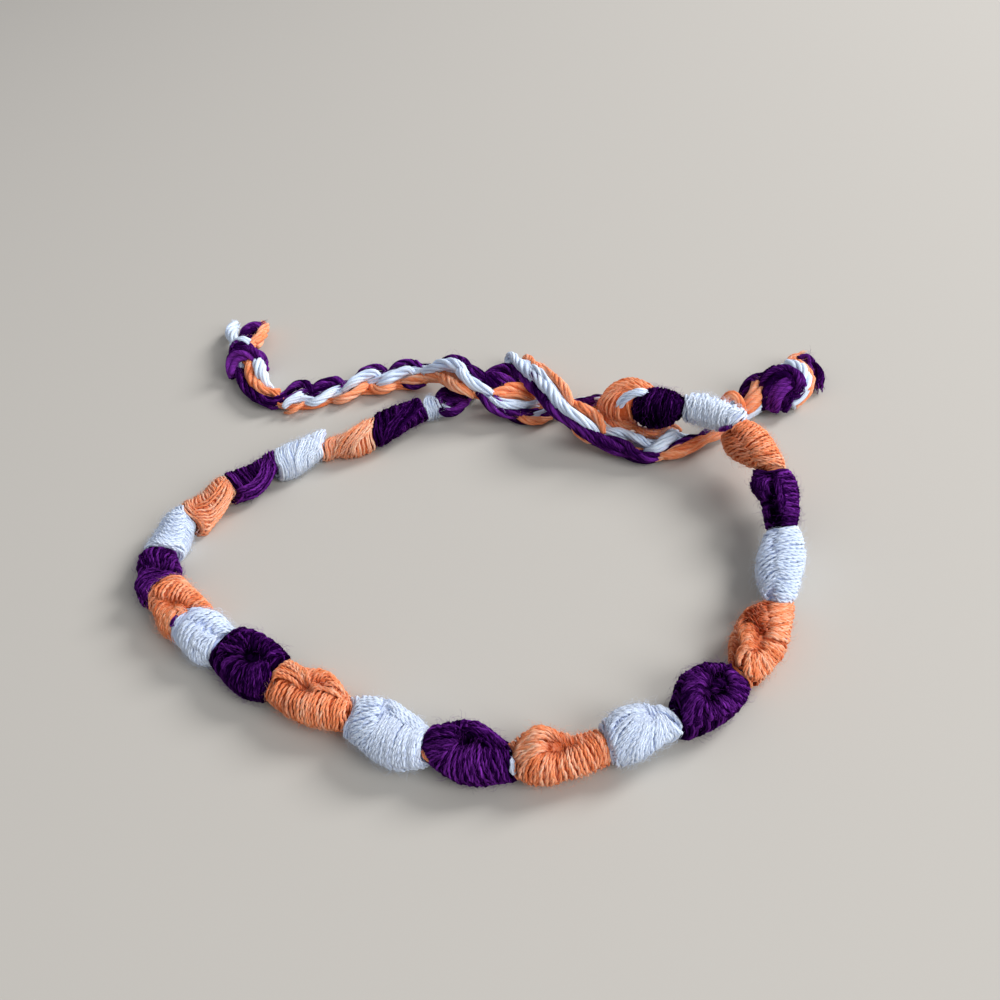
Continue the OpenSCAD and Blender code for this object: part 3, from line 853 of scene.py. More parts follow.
@dataclass
class Leaf:
    """One knotted leaf of the band: its shape and the threads that wrap it.

    Sizes are in millimetres, and length in metres. The outline is read at five places along the
    leaf, from first_place on. Threads sink a little into the surface, and more where they are
    tucked under their neighbours and near the leaf's ends. Their tone, their path and their
    thickness vary by chance.
    """

    row: int
    route: Route
    width: float = LEAF_WIDTH
    height: float = LEAF_HEIGHT
    seam: float = 0.05
    first_place: float = 0.08
    place_step: float = 0.21
    yarn_radius: float = 0.112
    yarn_offset: float = 0.068
    white_plumper: float = 1.15
    white_milder: float = 0.6
    yarn_tones: float = 0.3
    strand_tones: float = 0.2
    gap_thinning: float = 0.25
    wrap_pitch: float = 0.31
    wrap_lay: float = 3.0
    wrap_sink: float = 0.2
    wrap_tuck: float = 20 / 360
    wrap_margin: float = 0.12
    wrap_wave: float = 0.32
    comb_lay: float = 1.25
    comb_sink: float = 0.12
    comb_tucks: tuple[float, float] = (0.13, 0.1)
    comb_wave: float = 0.07
    comb_sway: float = 1.2
    crowding: float = 1.75
    tuck_depth: float = 0.3
    end_depth: float = 0.3
    end_reach: float = 0.06
    underside: float = 270.0
    past_view: float = 18.0
    start_spread: float = 8.0
    hidden_shade: float = 0.35
    body_sink: float = 0.24
    lowest: float = 0.1
    hair_sides: tuple[float, float] = (-70, 250)
    hair_sink: float = 0.04
    hair_radius: float = 0.0095
    seed: int = 100

    def __post_init__(self) -> None:
        """Looks up its piece, its neighbour's joint, its cotton's tone and its length."""
        self.piece = BAND[self.row]
        self.outline = self.piece.outline
        self.before = BAND[self.row - 1].outline if self.row else NO_JOINT
        ends, _ = self.route.at(np.array([self.row, self.row + 1.0]))
        self.length = float(np.linalg.norm(ends[1] - ends[0]))
        self.skein = Skein(self.seed + self.row)
        white = self.piece.cotton is W
        self.plump, self.mild = (self.white_plumper, self.white_milder) if white else (1.0, 1.0)

    @staticmethod
    def reach(outline: Outline, angle: Array) -> Array:
        """Finds how far the joint after a leaf lies past its place.

        Args:
            outline: the leaf's outline.
            angle: angles round the leaf, in degrees.

        Returns:
            The distances there, in millimetres.
        """
        joint = outline.joint
        turn = np.radians(angle - outline.view)
        crown = np.maximum(0, np.cos(turn))
        edge = joint[2] * (1 + np.sin(turn)) / 2 + joint[0] * (1 - np.sin(turn)) / 2
        return joint[1] * crown + edge * (1 - crown)

    def hollows(self, u: Array, angle: Array) -> Array | float:
        """How far the dimples take the surface in, as a share of its half size."""
        return sum(d.depth * d.near(u, angle) for d in self.piece.dimples)

    def dimple_shade(self, u: Array, angle: Array) -> Array:
        """How much painted shade the dimples lay on the thread, from 0 to 1."""
        shade = np.clip(self.hollows(u, angle) * 2.2, 0, 1) * 0.7
        return np.clip(sum((d.painted_shade * d.near(u, angle) for d in self.piece.dimples), shade), 0, 1)

    def place(self, u: Array, angle: Array, lift: Array | float,
              low: float) -> tuple[Array, Array]:
        """Places on the leaf.

        Args:
            u: shares of the leaf's length.
            angle: angles round it, in degrees.
            lift: distance above the surface, in millimetres.
            low: the least height above the floor, in millimetres.

        Returns:
            The points and the directions away from the leaf's middle line.
        """
        u = np.clip(u, 0, 1)
        shift = ((1 - u) * (self.reach(self.before, angle) - self.seam)
                 + u * (self.reach(self.outline, angle) + self.seam)) * MM / self.length
        mid, run = self.route.at(np.clip(self.row + u + shift, 0, self.route.spans))
        side, up = side_and_up(run)
        outer = (1 + np.cos(np.radians(angle - self.outline.view + 90))) / 2
        t = np.clip((u - self.first_place) / self.place_step, -0.38, 4.38)
        share = (through(np.array(self.outline.outer) / 100, t) * outer
                 + through(np.array(self.outline.inner) / 100, t) * (1 - outer))
        share *= 1 - self.hollows(u, angle)
        turn, a = math.radians(self.piece.turn), np.radians(angle)
        half = np.where(np.sin(a) > 0, self.height * self.piece.thick - self.height / 2,
                        self.height / 2)
        lift = lift * MM
        across = (self.width / 2 * self.piece.wide * share * MM + lift) * np.cos(a)
        high = (half * share * MM + lift) * np.sin(a)
        out = (side * (across * math.cos(turn) - high * math.sin(turn))[:, None]
               + up * (across * math.sin(turn) + high * math.cos(turn))[:, None])
        return above(mid + out, low * MM), unit(out)

    def yarn(self, skein: Skein, u: Array, angle: Array, lift: Array, gap_shade: Array,
             lay: float) -> None:
        """Lays one yarn of two fine strands twisted together.

        Args:
            skein: where the strands go.
            u: shares of the leaf's length along the yarn.
            angle: angles round the leaf along it.
            lift: height of its middle over the surface, in millimetres.
            gap_shade: how far it lies in a gap, from 0 to 1; it thins the strands and paints them in
                shade.
            lay: the length of one turn of the twist, in millimetres.
        """
        rnd = skein.random
        mid, out = self.place(u, angle, lift, self.lowest)
        across = unit(np.cross(out, unit(np.gradient(mid, axis=0))))
        start = rnd.uniform(0, 6.3)
        # A random tone for the yarn, shifted by the piece's painted light and shade
        shade = (0.5 + rnd.uniform(-self.yarn_tones, self.yarn_tones) * self.mild
                 + self.piece.painted_light_shift)
        for k in range(2):
            turn = start + TURN * distances(mid) / (lay * MM) + k * math.pi
            radius = self.yarn_radius * rnd.uniform(0.85, 1.15) * MM * self.plump
            line = above(mid + self.yarn_offset * MM * swing(across, out, turn), radius)
            tone = shade + rnd.uniform(-self.strand_tones, self.strand_tones) * self.mild
            # The strand turned in towards the leaf gets a little painted shade
            skein.thread(line, radius * (1 - self.gap_thinning * gap_shade), 4, out, tone,
                         np.clip(gap_shade + 0.15 * np.clip(-np.sin(turn), 0, 1), 0, MOST_GAP_SHADE))

    def wraps(self) -> None:
        """Lays the threads that go round the leaf."""
        rnd = self.skein.random
        count = max(4, round(self.length / MM / self.wrap_pitch))
        q = np.linspace(0, 1, 21)
        edge = self.wrap_margin * MM / self.length
        view = self.outline.view
        under, start = 0, self.underside
        if len(self.piece.combs) > 1:
            under, start = self.hidden_shade, view + self.past_view
        loose = self.wrap_wave * self.piece.loose
        for k in range(count):
            angle = start + rnd.uniform(-self.start_spread, self.start_spread) - 360 * q
            u = (k + 0.5) / count + (np.sin(q * rnd.uniform(4, 9) + rnd.uniform(0, 6.3)) * loose
                                     + np.sin(q * rnd.uniform(12, 20)) * 0.1) / count
            u = np.clip(u, edge, 1 - edge)
            dive = ends_at(q, self.wrap_tuck, self.wrap_tuck)
            lift = (-self.wrap_sink - self.tuck_depth * dive
                    - self.end_depth * close_to_ends(u, self.end_reach)
                    + rnd.uniform(-0.06, 0.05))
            # Painted shade where a wrap tucks in, in the dimples, and on the seen side under the combs
            covered_shade = under * np.clip(1.6 * np.cos(np.radians(angle - view)), 0, 1)
            self.yarn(self.skein, u, angle, lift,
                      np.clip(0.6 * dive + self.dimple_shade(u, angle) + covered_shade, 0, MOST_GAP_SHADE),
                      self.wrap_lay)
        # Turns that close each end, sunk in and painted in shade
        q = np.linspace(0, 1, 14)
        for end in (edge, 1 - edge):
            for sink in (0.5, 0.85):
                self.yarn(self.skein, end + 0 * q, rnd.uniform(0, 360) - 360 * q, 0 * q - sink,
                          0.6 + 0 * q, self.wrap_lay)

    def comb(self, comb: Comb, skein: Skein) -> None:
        """Lays the threads of one comb, guide by guide.

        Args:
            comb: the comb.
            skein: where the threads go.
        """
        rnd = skein.random
        q = np.linspace(0, 1, 20)
        guides = [np.reshape(g, (-1, 2)) / (100, 1) for g in comb.guides]
        lines = np.stack([through(g, q * (len(g) - 1)) for g in guides])
        count = max(2, round(comb.count * self.crowding))
        loose = self.piece.loose
        for k in range(count):
            t = (k + rnd.uniform(-0.25, 0.25)) / (count - 1) * (len(lines) - 1)
            line = through(lines, np.clip(np.array([t]), 0, len(lines) - 1))[0]
            wave = np.sin(q * rnd.uniform(4, 10) + rnd.uniform(0, 6.3))
            u = line[:, 0] + self.comb_wave * loose * MM / self.length * wave
            angle = (line[:, 1] + self.comb_sway * loose * np.sin(q * rnd.uniform(5, 11))
                     + rnd.uniform(-self.start_spread, self.start_spread) * (1 - q) ** 3)
            dive = ends_at(q, *self.comb_tucks)
            lift = (-self.comb_sink + comb.lift - comb.dive * dive
                    - self.end_depth * close_to_ends(u, self.end_reach)
                    + rnd.uniform(-0.05, 0.05))
            # Painted shade at the tucked ends and in the dimples
            self.yarn(skein, u, angle, lift,
                      np.clip(1.4 * comb.dive * dive + self.dimple_shade(u, angle), 0, MOST_GAP_SHADE),
                      self.comb_lay)

    def fuzz(self, amount: int) -> None:
        """Adds stray fibres all over the leaf.

        Args:
            amount: how many.
        """
        rnd = self.skein.random
        u = rnd.uniform(0.03, 0.97, amount)
        angle = rnd.uniform(*self.hair_sides, amount)
        roots, out = self.place(u, angle, -self.hair_sink, self.lowest)
        ahead, _ = self.place(u, angle - 12, -self.hair_sink, self.lowest)
        lie = unit(ahead - roots)
        bend = np.cross(out, lie) * rnd.normal(0, 0.7, amount)[:, None]
        lie = unit(lie * rnd.choice([-1, 1], amount)[:, None] + bend)
        room = np.clip(np.minimum(u, 1 - u) * self.length / MM, 0.25, 1.0)
        self.skein.hairs(roots, out, lie, rnd.uniform(0.3, 1.2, amount) * room * MM,
                         self.hair_radius * MM)

    def bun(self, co: Array) -> Array:
        """Shapes the body that fills the leaf, a little inside its threads.

        Args:
            co: the points of a sphere.

        Returns:
            Their places on the body.
        """
        u = np.clip((co[:, 2] + 1) / 2, 0.02, 0.98)
        angle = np.degrees(np.arctan2(co[:, 1], co[:, 0]))
        sink = self.body_sink + 0.4 * close_to_ends(u, 0.1)
        skin, _ = self.place(u, angle, -sink, self.lowest / 2)
        mid, _ = self.route.at(self.row + u)
        return mid + (skin - mid) * np.minimum(1, 1.7 * np.hypot(co[:, 0], co[:, 1]))[:, None]

    def build(self, palette: Palette) -> None:
        """Builds the leaf's threads and body as one piece, in place of its solid.

        Args:
            palette: the materials.
        """
        name, cotton = self.piece.name, self.piece.cotton
        self.wraps()
        for comb in self.piece.combs:
            self.comb(comb, self.skein)
        self.fuzz(HAIRS[cotton])
        threads = self.skein.mesh(name + "_wraps", palette[cotton])
        # The body under the threads shows only in their gaps and is painted in shade
        body = soft_body(24, 16, self.bun, 0.7, palette[cotton])
        settled(joined([threads, body], name + "_threads"), cotton, name)


# The ties


@dataclass(frozen=True)
class Rope:
    """One bundle of threads seen in the photograph.

    radius is in millimetres. points are x, y and z of each point in turn, in tenths of one.
    step is between its places, taper the share of its length that thins out at either end, and
    turn the length of one turn of its strands, in radii.
    """

    cotton: Cotton
    radius: float
    points: tuple[int, ...]
    step: float = 0.3
    taper: float = 0.3
    strands: int = 6
    turn: float = 14.0
    hair_radius: float = 0.0095

    def route(self) -> Route:
        """The line that it follows."""
        return Route(np.reshape(self.points, (-1, 3)) / 10)

    def lay(self, skein: Skein, first: float, last: float, hairs: int) -> None:
        """Lays the rope with stray fibres.

        Args:
            skein: where it goes.
            first: its radius at the near end, as a share.
            last: its radius at the far end, as a share.
            hairs: how many stray fibres it has.
        """
        line, run, far = self.route().even(self.step * MM)
        q, taper = far / far[-1], self.taper
        size = self.radius * MM * (1 - (1 - first) * np.clip(1 - q / taper, 0, 1)
                                   - (1 - last) * np.clip((q - (1 - taper)) / taper, 0, 1))
        up = np.broadcast_to(np.array(TO_CAMERA), line.shape)
        skein.rope(line, size, self.strands, self.turn * self.radius * MM, up)
        rnd = skein.random
        pick = rnd.integers(1, len(line) - 1, hairs)
        out = unit(up[pick] + rnd.normal(0, 0.6, (hairs, 3)))
        lie = unit(run[pick] * rnd.choice([-1, 1], hairs)[:, None]
                   + rnd.normal(0, 0.4, (hairs, 3)))
        skein.hairs(line[pick] + out * size[pick][:, None] * 0.9, out, lie,
                    rnd.uniform(0.3, 1.2, hairs) * MM, self.hair_radius * MM)


LEFT_ROUTE = (
    (0, 26.4, 1.65), (2.2, 27.3, 1.45), (4.4, 28.6, 1.25), (6.4, 30.2, 1.25), (8.8, 31.2, 1.25),
    (11.2, 30.6, 1.7), (13, 28.8, 2.5), (13.7, 26.4, 3.3), (13.8, 23.8, 3.9), (14, 21.2, 4.1),
    (14.6, 18.5, 3.9), (15.9, 16, 3.1), (17.7, 13.7, 2), (19.9, 11.8, 1.3), (22.7, 10.5, 1.25),
    (25.8, 10, 1.25), (28.9, 10.6, 1.25), (31.6, 12.6, 1.25), (33.8, 14.5, 1.3), (36, 15.5, 1.6),
)
RIGHT_ROUTE = (
    (19.4, 18, 3.15), (18.2, 19.9, 2.5), (16.4, 21.1, 1.7), (14.2, 21.4, 1.25), (12, 21.5, 1.25),
    (9.9, 22.3, 1.45), (8, 23.9, 2.2), (6.3, 25.9, 3.3), (4.7, 28.1, 4.1), (3, 30.2, 4), (1.1, 32.1, 3.1),
    (-1.1, 33.7, 2), (-3.9, 34.9, 1.35), (-7.1, 35.4, 1.25), (-10.5, 35.1, 1.25), (-13.9, 34.5, 1.25),
    (-17.1, 34.4, 1.25), (-19.8, 35.4, 1.25), (-21.9, 37.6, 1.25), (-23.5, 41.1, 1.3), (-24.5, 45.2, 1.6),
)
# Where each cotton lies beside the route: distance along it, sideways and up
LEFT_LANES = {
    P: ((0, 0.6, 0.1), (3, 0.8, 0.3), (6, 0.3, 0.4), (8, -0.35, 0.4), (10, -0.35, 0.4), (12, 1.2, 0.3),
        (14, 2.1, 0.1), (18, 2.2, 0.1), (21.5, 2.15, 0.1), (24.8, 1.95, 0), (27.8, 1.9, 0), (31, 1.3, 0),
        (33, 0.9, 0), (35.8, 1.15, -0.2), (37.1, 1.3, -0.2), (38.5, 0.9, -0.4), (40, -0.1, -0.3),
        (42.5, -0.6, 0.2), (48, -1, 0.2), (51.8, -1.3, 0), (53.3, -1.3, 0)),
    W: ((0, 0, -0.9), (3, 0, -0.9), (7, -0.1, -0.8), (9.5, -0.6, -0.5), (11, -1.2, 0.2), (12.5, 0.1, 0.5),
        (15, 1.1, 0.5), (18, 1.4, 0.5), (21.4, 1.15, 0.4), (24, 0.85, 0.4), (27, 0.65, 0.4),
        (30.8, 0.4, 0.3), (32.2, -0.3, 0.2), (33.5, -1.2, 0.2), (35.3, -1.4, 0.2), (36.7, -0.9, 0.1),
        (38, -0.1, 0.3), (39, -0.8, 0.6), (40.2, -1.7, 0.5), (42, -1.4, -0.2), (46, 0, -0.5),
        (49.2, 0.9, -0.1), (50.4, 1.3, 0), (53.3, 1.3, 0)),
    O: ((0, -0.6, -0.3), (3, -0.8, -0.2), (6, -1, 0.5), (8, -0.6, -0.4), (10, -0.4, -0.6),
        (12, -0.6, -0.5), (13.5, -0.7, -0.2), (16, 0.15, 0.1), (19.7, 0.1, 0), (22.2, -0.4, 0),
        (24.4, -0.65, 0), (26, -0.55, 0), (27.2, -0.8, -0.3), (28.5, -1.1, 0.15), (30, -1.15, 0.1),
        (31.4, -0.8, -0.1), (33, -0.4, -0.5), (35, -0.2, -0.7), (37.1, 0.5, -0.5), (38.7, 1.35, -0.1),
        (40, 1.25, 0.2), (42.4, 0.5, 0.3), (43.5, 0.2, 0.3), (47, 0.5, 0.4), (50, 0.45, 0.4),
        (53.3, 0, 0.4)),
}
RIGHT_LANES = {
    P: ((0, 0, 0), (2.8, -0.6, 0), (5, -0.4, 0), (8, -0.5, -0.2), (11.4, -0.8, -0.3), (13, -0.9, -0.2),
        (14.9, -0.3, 0), (16.7, 0.35, 0.3), (18.4, 0.2, 0.4), (20.3, 0.4, 0.5), (22.4, 0.95, 0.6),
        (24.7, 0.8, 0.1), (30.4, 0.9, 0.1), (35, 0.9, 0.1), (39.6, 0.9, 0.2), (44.2, 1.1, 0.3),
        (46.5, 0.3, 0.2), (48.4, -0.95, -0.2), (51.5, -1, -0.1), (54.6, -1.35, 0), (58.7, -1.5, 0)),
    W: ((0, -0.4, 0.3), (4, 0.2, -0.4), (8, 0.1, 0), (12.3, -0.4, 0.2), (15, -0.6, -0.3),
        (17.8, -0.95, -0.2), (20, -0.8, 0.1), (22.4, -0.3, 0.4), (27, 0, 0.4), (32, 0, 0.35),
        (36.6, 0.1, 0.35), (40, -0.2, 0), (42.5, -0.3, -0.1), (44.7, -0.1, -0.1), (47.5, 0.6, -0.3),
        (49.5, 0.8, -0.4), (51.9, 1.1, 0.1), (54.7, 1.4, 0.2), (58.7, 1.4, 0.2)),
    O: ((0, 0.2, -0.9), (4, 0.2, -0.9), (8, 0.9, 0), (13, 1.1, 0.3), (15.5, -0.6, -0.5),
        (19.8, -1.9, -0.7), (22, -1.5, -0.6), (27, -1.3, -0.5), (33.7, -1.6, -0.5), (37.9, -1.3, -0.5),
        (40.5, -0.7, -0.9), (45.1, -0.5, -0.9), (47.2, -0.4, 0.2), (49.2, 0.5, 0.5), (52.4, 0.15, 0.4),
        (58.7, 0.2, 0.4)),
}
# Half turns of the two plies, and how far they stand apart, by distance
LEFT_TURNS = ((0, 0), (14, 2), (34, 4), (42, 6), (53.3, 8))
RIGHT_TURNS = ((0, -2.5), (10, -1), (19.5, 0.5), (24.5, 1.5), (32.2, 2.5), (36.7, 3.5), (41.4, 4.5),
               (44.8, 5.5), (49, 6.5), (53, 7.5), (58.7, 8.75))
LEFT_SPREAD = ((0, 0.45), (11, 0.4), (15, 0.32), (53.3, 0.4))
RIGHT_SPREAD = ((0, 0.45), (7, 0.5), (9, 0.7), (14, 0.7), (17, 0.45), (58.7, 0.45))
LEFT_ROPES = (
    Rope(W, 0.68, (94, 316, 7, 99, 336, 15, 108, 300, 23, 117, 264, 31, 125, 233, 38, 132, 199, 44,
         138, 170, 46, 146, 153, 45, 156, 142, 41, 165, 136, 32, 171, 134, 22)),
    Rope(O, 0.46, (113, 316, 5, 118, 329, 12, 124, 299, 22, 130, 267, 30, 134, 244, 33)),
    Rope(O, 0.52, (137, 260, 32, 143, 223, 43, 148, 202, 44, 151, 185, 42, 153, 178, 35)),
    Rope(O, 0.6, (154, 187, 34, 162, 168, 37, 171, 160, 33, 176, 140, 32, 176, 131, 25)),
    Rope(P, 0.62, (62, 307, 13, 75, 311, 15, 89, 311, 16, 100, 298, 17, 105, 274, 19, 113, 254, 20)),
    Rope(P, 0.72, (99, 296, 17, 107, 266, 22, 116, 241, 28, 122, 211, 34, 126, 183, 39, 133, 163, 40,
         141, 150, 38, 150, 142, 30)),
    Rope(P, 0.76, (144, 155, 32, 155, 138, 29, 167, 128, 23, 181, 120, 19, 194, 111, 17, 201, 97, 17,
         209, 92, 14)),
    Rope(P, 0.6, (196, 114, 11, 205, 97, 13, 215, 90, 13, 231, 94, 10)),
    Rope(O, 0.34, (144, 158, 26, 149, 145, 23, 158, 135, 18, 168, 127, 17)),
    Rope(W, 0.54, (177, 141, 22, 187, 135, 22, 200, 130, 19, 211, 117, 19, 221, 104, 16)),
    Rope(W, 0.72, (215, 102, 11, 226, 97, 17, 236, 105, 17, 245, 112, 17, 256, 128, 11)),
    Rope(O, 0.52, (232, 119, 10, 241, 122, 15, 249, 128, 15, 255, 126, 15, 260, 126, 10)),
    Rope(O, 0.5, (212, 139, 19, 220, 128, 19, 230, 122, 20, 241, 126, 18)),
    Rope(O, 0.5, (211, 141, 8, 221, 131, 8, 233, 127, 8, 247, 134, 7)),
    Rope(P, 0.4, (245, 98, 14, 256, 100, 17, 266, 101, 18, 276, 104, 14)),
    Rope(O, 0.6, (228, 92, 11, 238, 88, 13, 252, 90, 13, 267, 96, 14, 283, 105, 12)),
    Rope(P, 0.62, (-2, 252, 19, 4, 269, 21, 14, 280, 20, 27, 274, 19, 38, 264, 16)),
    Rope(P, 0.55, (2, 263, 15, 8, 244, 17, 20, 243, 16, 30, 253, 15, 40, 269, 12)),
    Rope(P, 0.6, (6, 271, 16, 16, 265, 16, 28, 265, 15, 38, 272, 13)),
    Rope(W, 0.16, (6, 256, 21, 10, 247, 22, 16, 245, 20)),
)
RIGHT_ROPES = (
    Rope(W, 0.52, (-192, 331, 13, -185, 337, 16, -174, 344, 16, -166, 359, 13)),
    Rope(W, 0.48, (-163, 331, 13, -150, 324, 16, -138, 331, 16, -125, 346, 13)),
    Rope(W, 0.62, (-115, 340, 13, -102, 343, 20, -86, 353, 20, -73, 355, 20, -67, 356, 13)),
    Rope(W, 0.64, (-70, 335, 13, -57, 333, 20, -43, 340, 21, -29, 342, 22, -22, 337, 17)),
    Rope(W, 0.72, (-10, 324, 25, 7, 314, 36, 24, 301, 45, 36, 283, 49, 42, 270, 46)),
    Rope(W, 0.66, (32, 296, 41, 39, 262, 49, 48, 248, 45, 59, 240, 40, 67, 244, 29)),
    Rope(O, 0.3, (-193, 335, 3, -182, 325, 9, -172, 332, 9, -163, 353, 3)),
    Rope(O, 0.58, (-129, 334, 5, -117, 325, 11, -103, 331, 11, -90, 342, 11, -82, 358, 5)),
    Rope(O, 0.56, (-85, 354, 5, -72, 329, 11, -58, 326, 12, -46, 344, 5)),
    Rope(O, 0.68, (-44, 338, 6, -27, 327, 15, -7, 321, 20, 8, 305, 28, 19, 289, 29)),
    Rope(O, 0.68, (6, 315, 20, 17, 284, 34, 28, 255, 41, 38, 247, 37, 45, 251, 26)),
    Rope(P, 0.58, (-193, 360, 10, -180, 365, 17, -167, 370, 17, -155, 356, 17, -151, 346, 10)),
    Rope(P, 0.62, (-160, 357, 10, -148, 356, 17, -135, 362, 17, -122, 360, 17, -112, 352, 10)),
    Rope(P, 0.4, (-101, 367, 10, -89, 370, 17, -73, 374, 17, -60, 364, 17, -56, 359, 10)),
    Rope(P, 0.42, (-57, 364, 10, -43, 366, 18, -27, 363, 20, -16, 350, 23, -8, 340, 19)),
    Rope(P, 0.34, (10, 330, 32, 26, 320, 42, 39, 303, 46, 47, 277, 46, 57, 262, 42, 67, 264, 35)),
    Rope(P, 0.36, (-45, 349, 6, -37, 331, 9, -24, 318, 11, -10, 316, 13)),
    Rope(P, 0.72, (-259, 438, 14, -252, 417, 15, -242, 393, 14, -227, 367, 14, -212, 351, 13,
         -198, 352, 13, -187, 369, 12)),
    Rope(O, 0.78, (-242, 461, 17, -238, 435, 20, -235, 412, 18, -226, 386, 18, -212, 367, 17,
         -197, 370, 13)),
    Rope(W, 0.84, (-229, 449, 20, -223, 421, 24, -218, 398, 22, -211, 380, 16)),
    Rope(O, 0.82, (128, 242, 12, 112, 250, 16, 95, 251, 22, 79, 248, 27, 66, 243, 28)),
    Rope(W, 0.42, (120, 228, 16, 104, 221, 19, 86, 220, 23, 72, 222, 28, 63, 234, 31)),
    Rope(O, 0.5, (129, 204, 7, 112, 200, 9, 99, 205, 10, 88, 219, 11)),
    Rope(P, 0.55, (124, 218, 10, 107, 213, 12, 91, 214, 14, 77, 216, 18, 64, 224, 23, 56, 236, 28,
         50, 249, 32)),
    Rope(P, 0.66, (60, 274, 37, 68, 262, 36, 76, 255, 32, 88, 255, 23)),
    Rope(P, 0.62, (72, 284, 30, 82, 275, 27, 92, 271, 21, 104, 264, 14)),
    Rope(P, 0.5, (191, 200, 23, 183, 203, 21, 173, 207, 17, 162, 214, 10)),
)
LEFT_KNOT = (
    Rope(P, 0.62, (338, 155, 8, 345, 166, 14, 355, 175, 18, 365, 179, 19, 376, 175, 18)),
    Rope(O, 0.95, (335, 133, 12, 344, 137, 20, 354, 146, 24, 363, 162, 22, 376, 179, 14)),
    Rope(W, 0.62, (331, 127, 9, 340, 130, 13, 350, 135, 15, 362, 142, 12)),
    Rope(P, 1.05, (362, 135, 10, 363, 139, 22, 368, 147, 32, 377, 152, 37, 387, 151, 38, 394, 144, 33,
         395, 141, 24, 391, 144, 16)),
    Rope(P, 0.88, (369, 129, 10, 370, 131, 22, 377, 137, 30, 387, 144, 32)),
    Rope(P, 0.62, (376, 126, 9, 380, 127, 18, 386, 135, 23)),
    Rope(W, 0.92, (405, 195, 14, 409, 177, 22, 409, 156, 25, 404, 143, 21, 396, 139, 14, 386, 136, 9)),
    Rope(O, 0.5, (416, 198, 16, 418, 175, 22, 417, 155, 22, 411, 143, 17, 401, 137, 10, 391, 133, 6)),
)
RIGHT_KNOT = (
    Rope(P, 0.98, (-261, 436, 9, -263, 446, 16, -259, 451, 26, -247, 452, 32, -235, 449, 31,
         -226, 444, 24, -225, 445, 12, -224, 439, 9)),
    Rope(W, 0.4, (-251, 442, 14, -252, 451, 20, -247, 455, 22)),
    Rope(W, 0.74, (-262, 490, 23, -254, 485, 29, -246, 480, 32, -239, 478, 28)),
    Rope(O, 0.6, (-242, 476, 22, -236, 488, 23, -230, 504, 21)),
)
LEFT_ENDS = (
    Rope(O, 0.5, (407, 200, 14, 416, 205, 16, 426, 208, 14)),
    Rope(P, 0.58, (421, 201, 14, 429, 202, 16, 432, 195, 14, 433, 188, 10)),
    Rope(P, 0.72, (429, 184, 14, 431, 173, 15, 430, 163, 12, 427, 154, 9)),
)
RIGHT_ENDS = (
    Rope(W, 0.88, (-255, 490, 23, -263, 511, 22, -271, 541, 17, -270, 570, 11)),
    Rope(P, 1, (-249, 503, 20, -245, 516, 24, -238, 530, 22, -228, 535, 17)),
    Rope(O, 0.78, (-235, 487, 20, -227, 501, 21, -225, 525, 17, -225, 550, 12)),
)


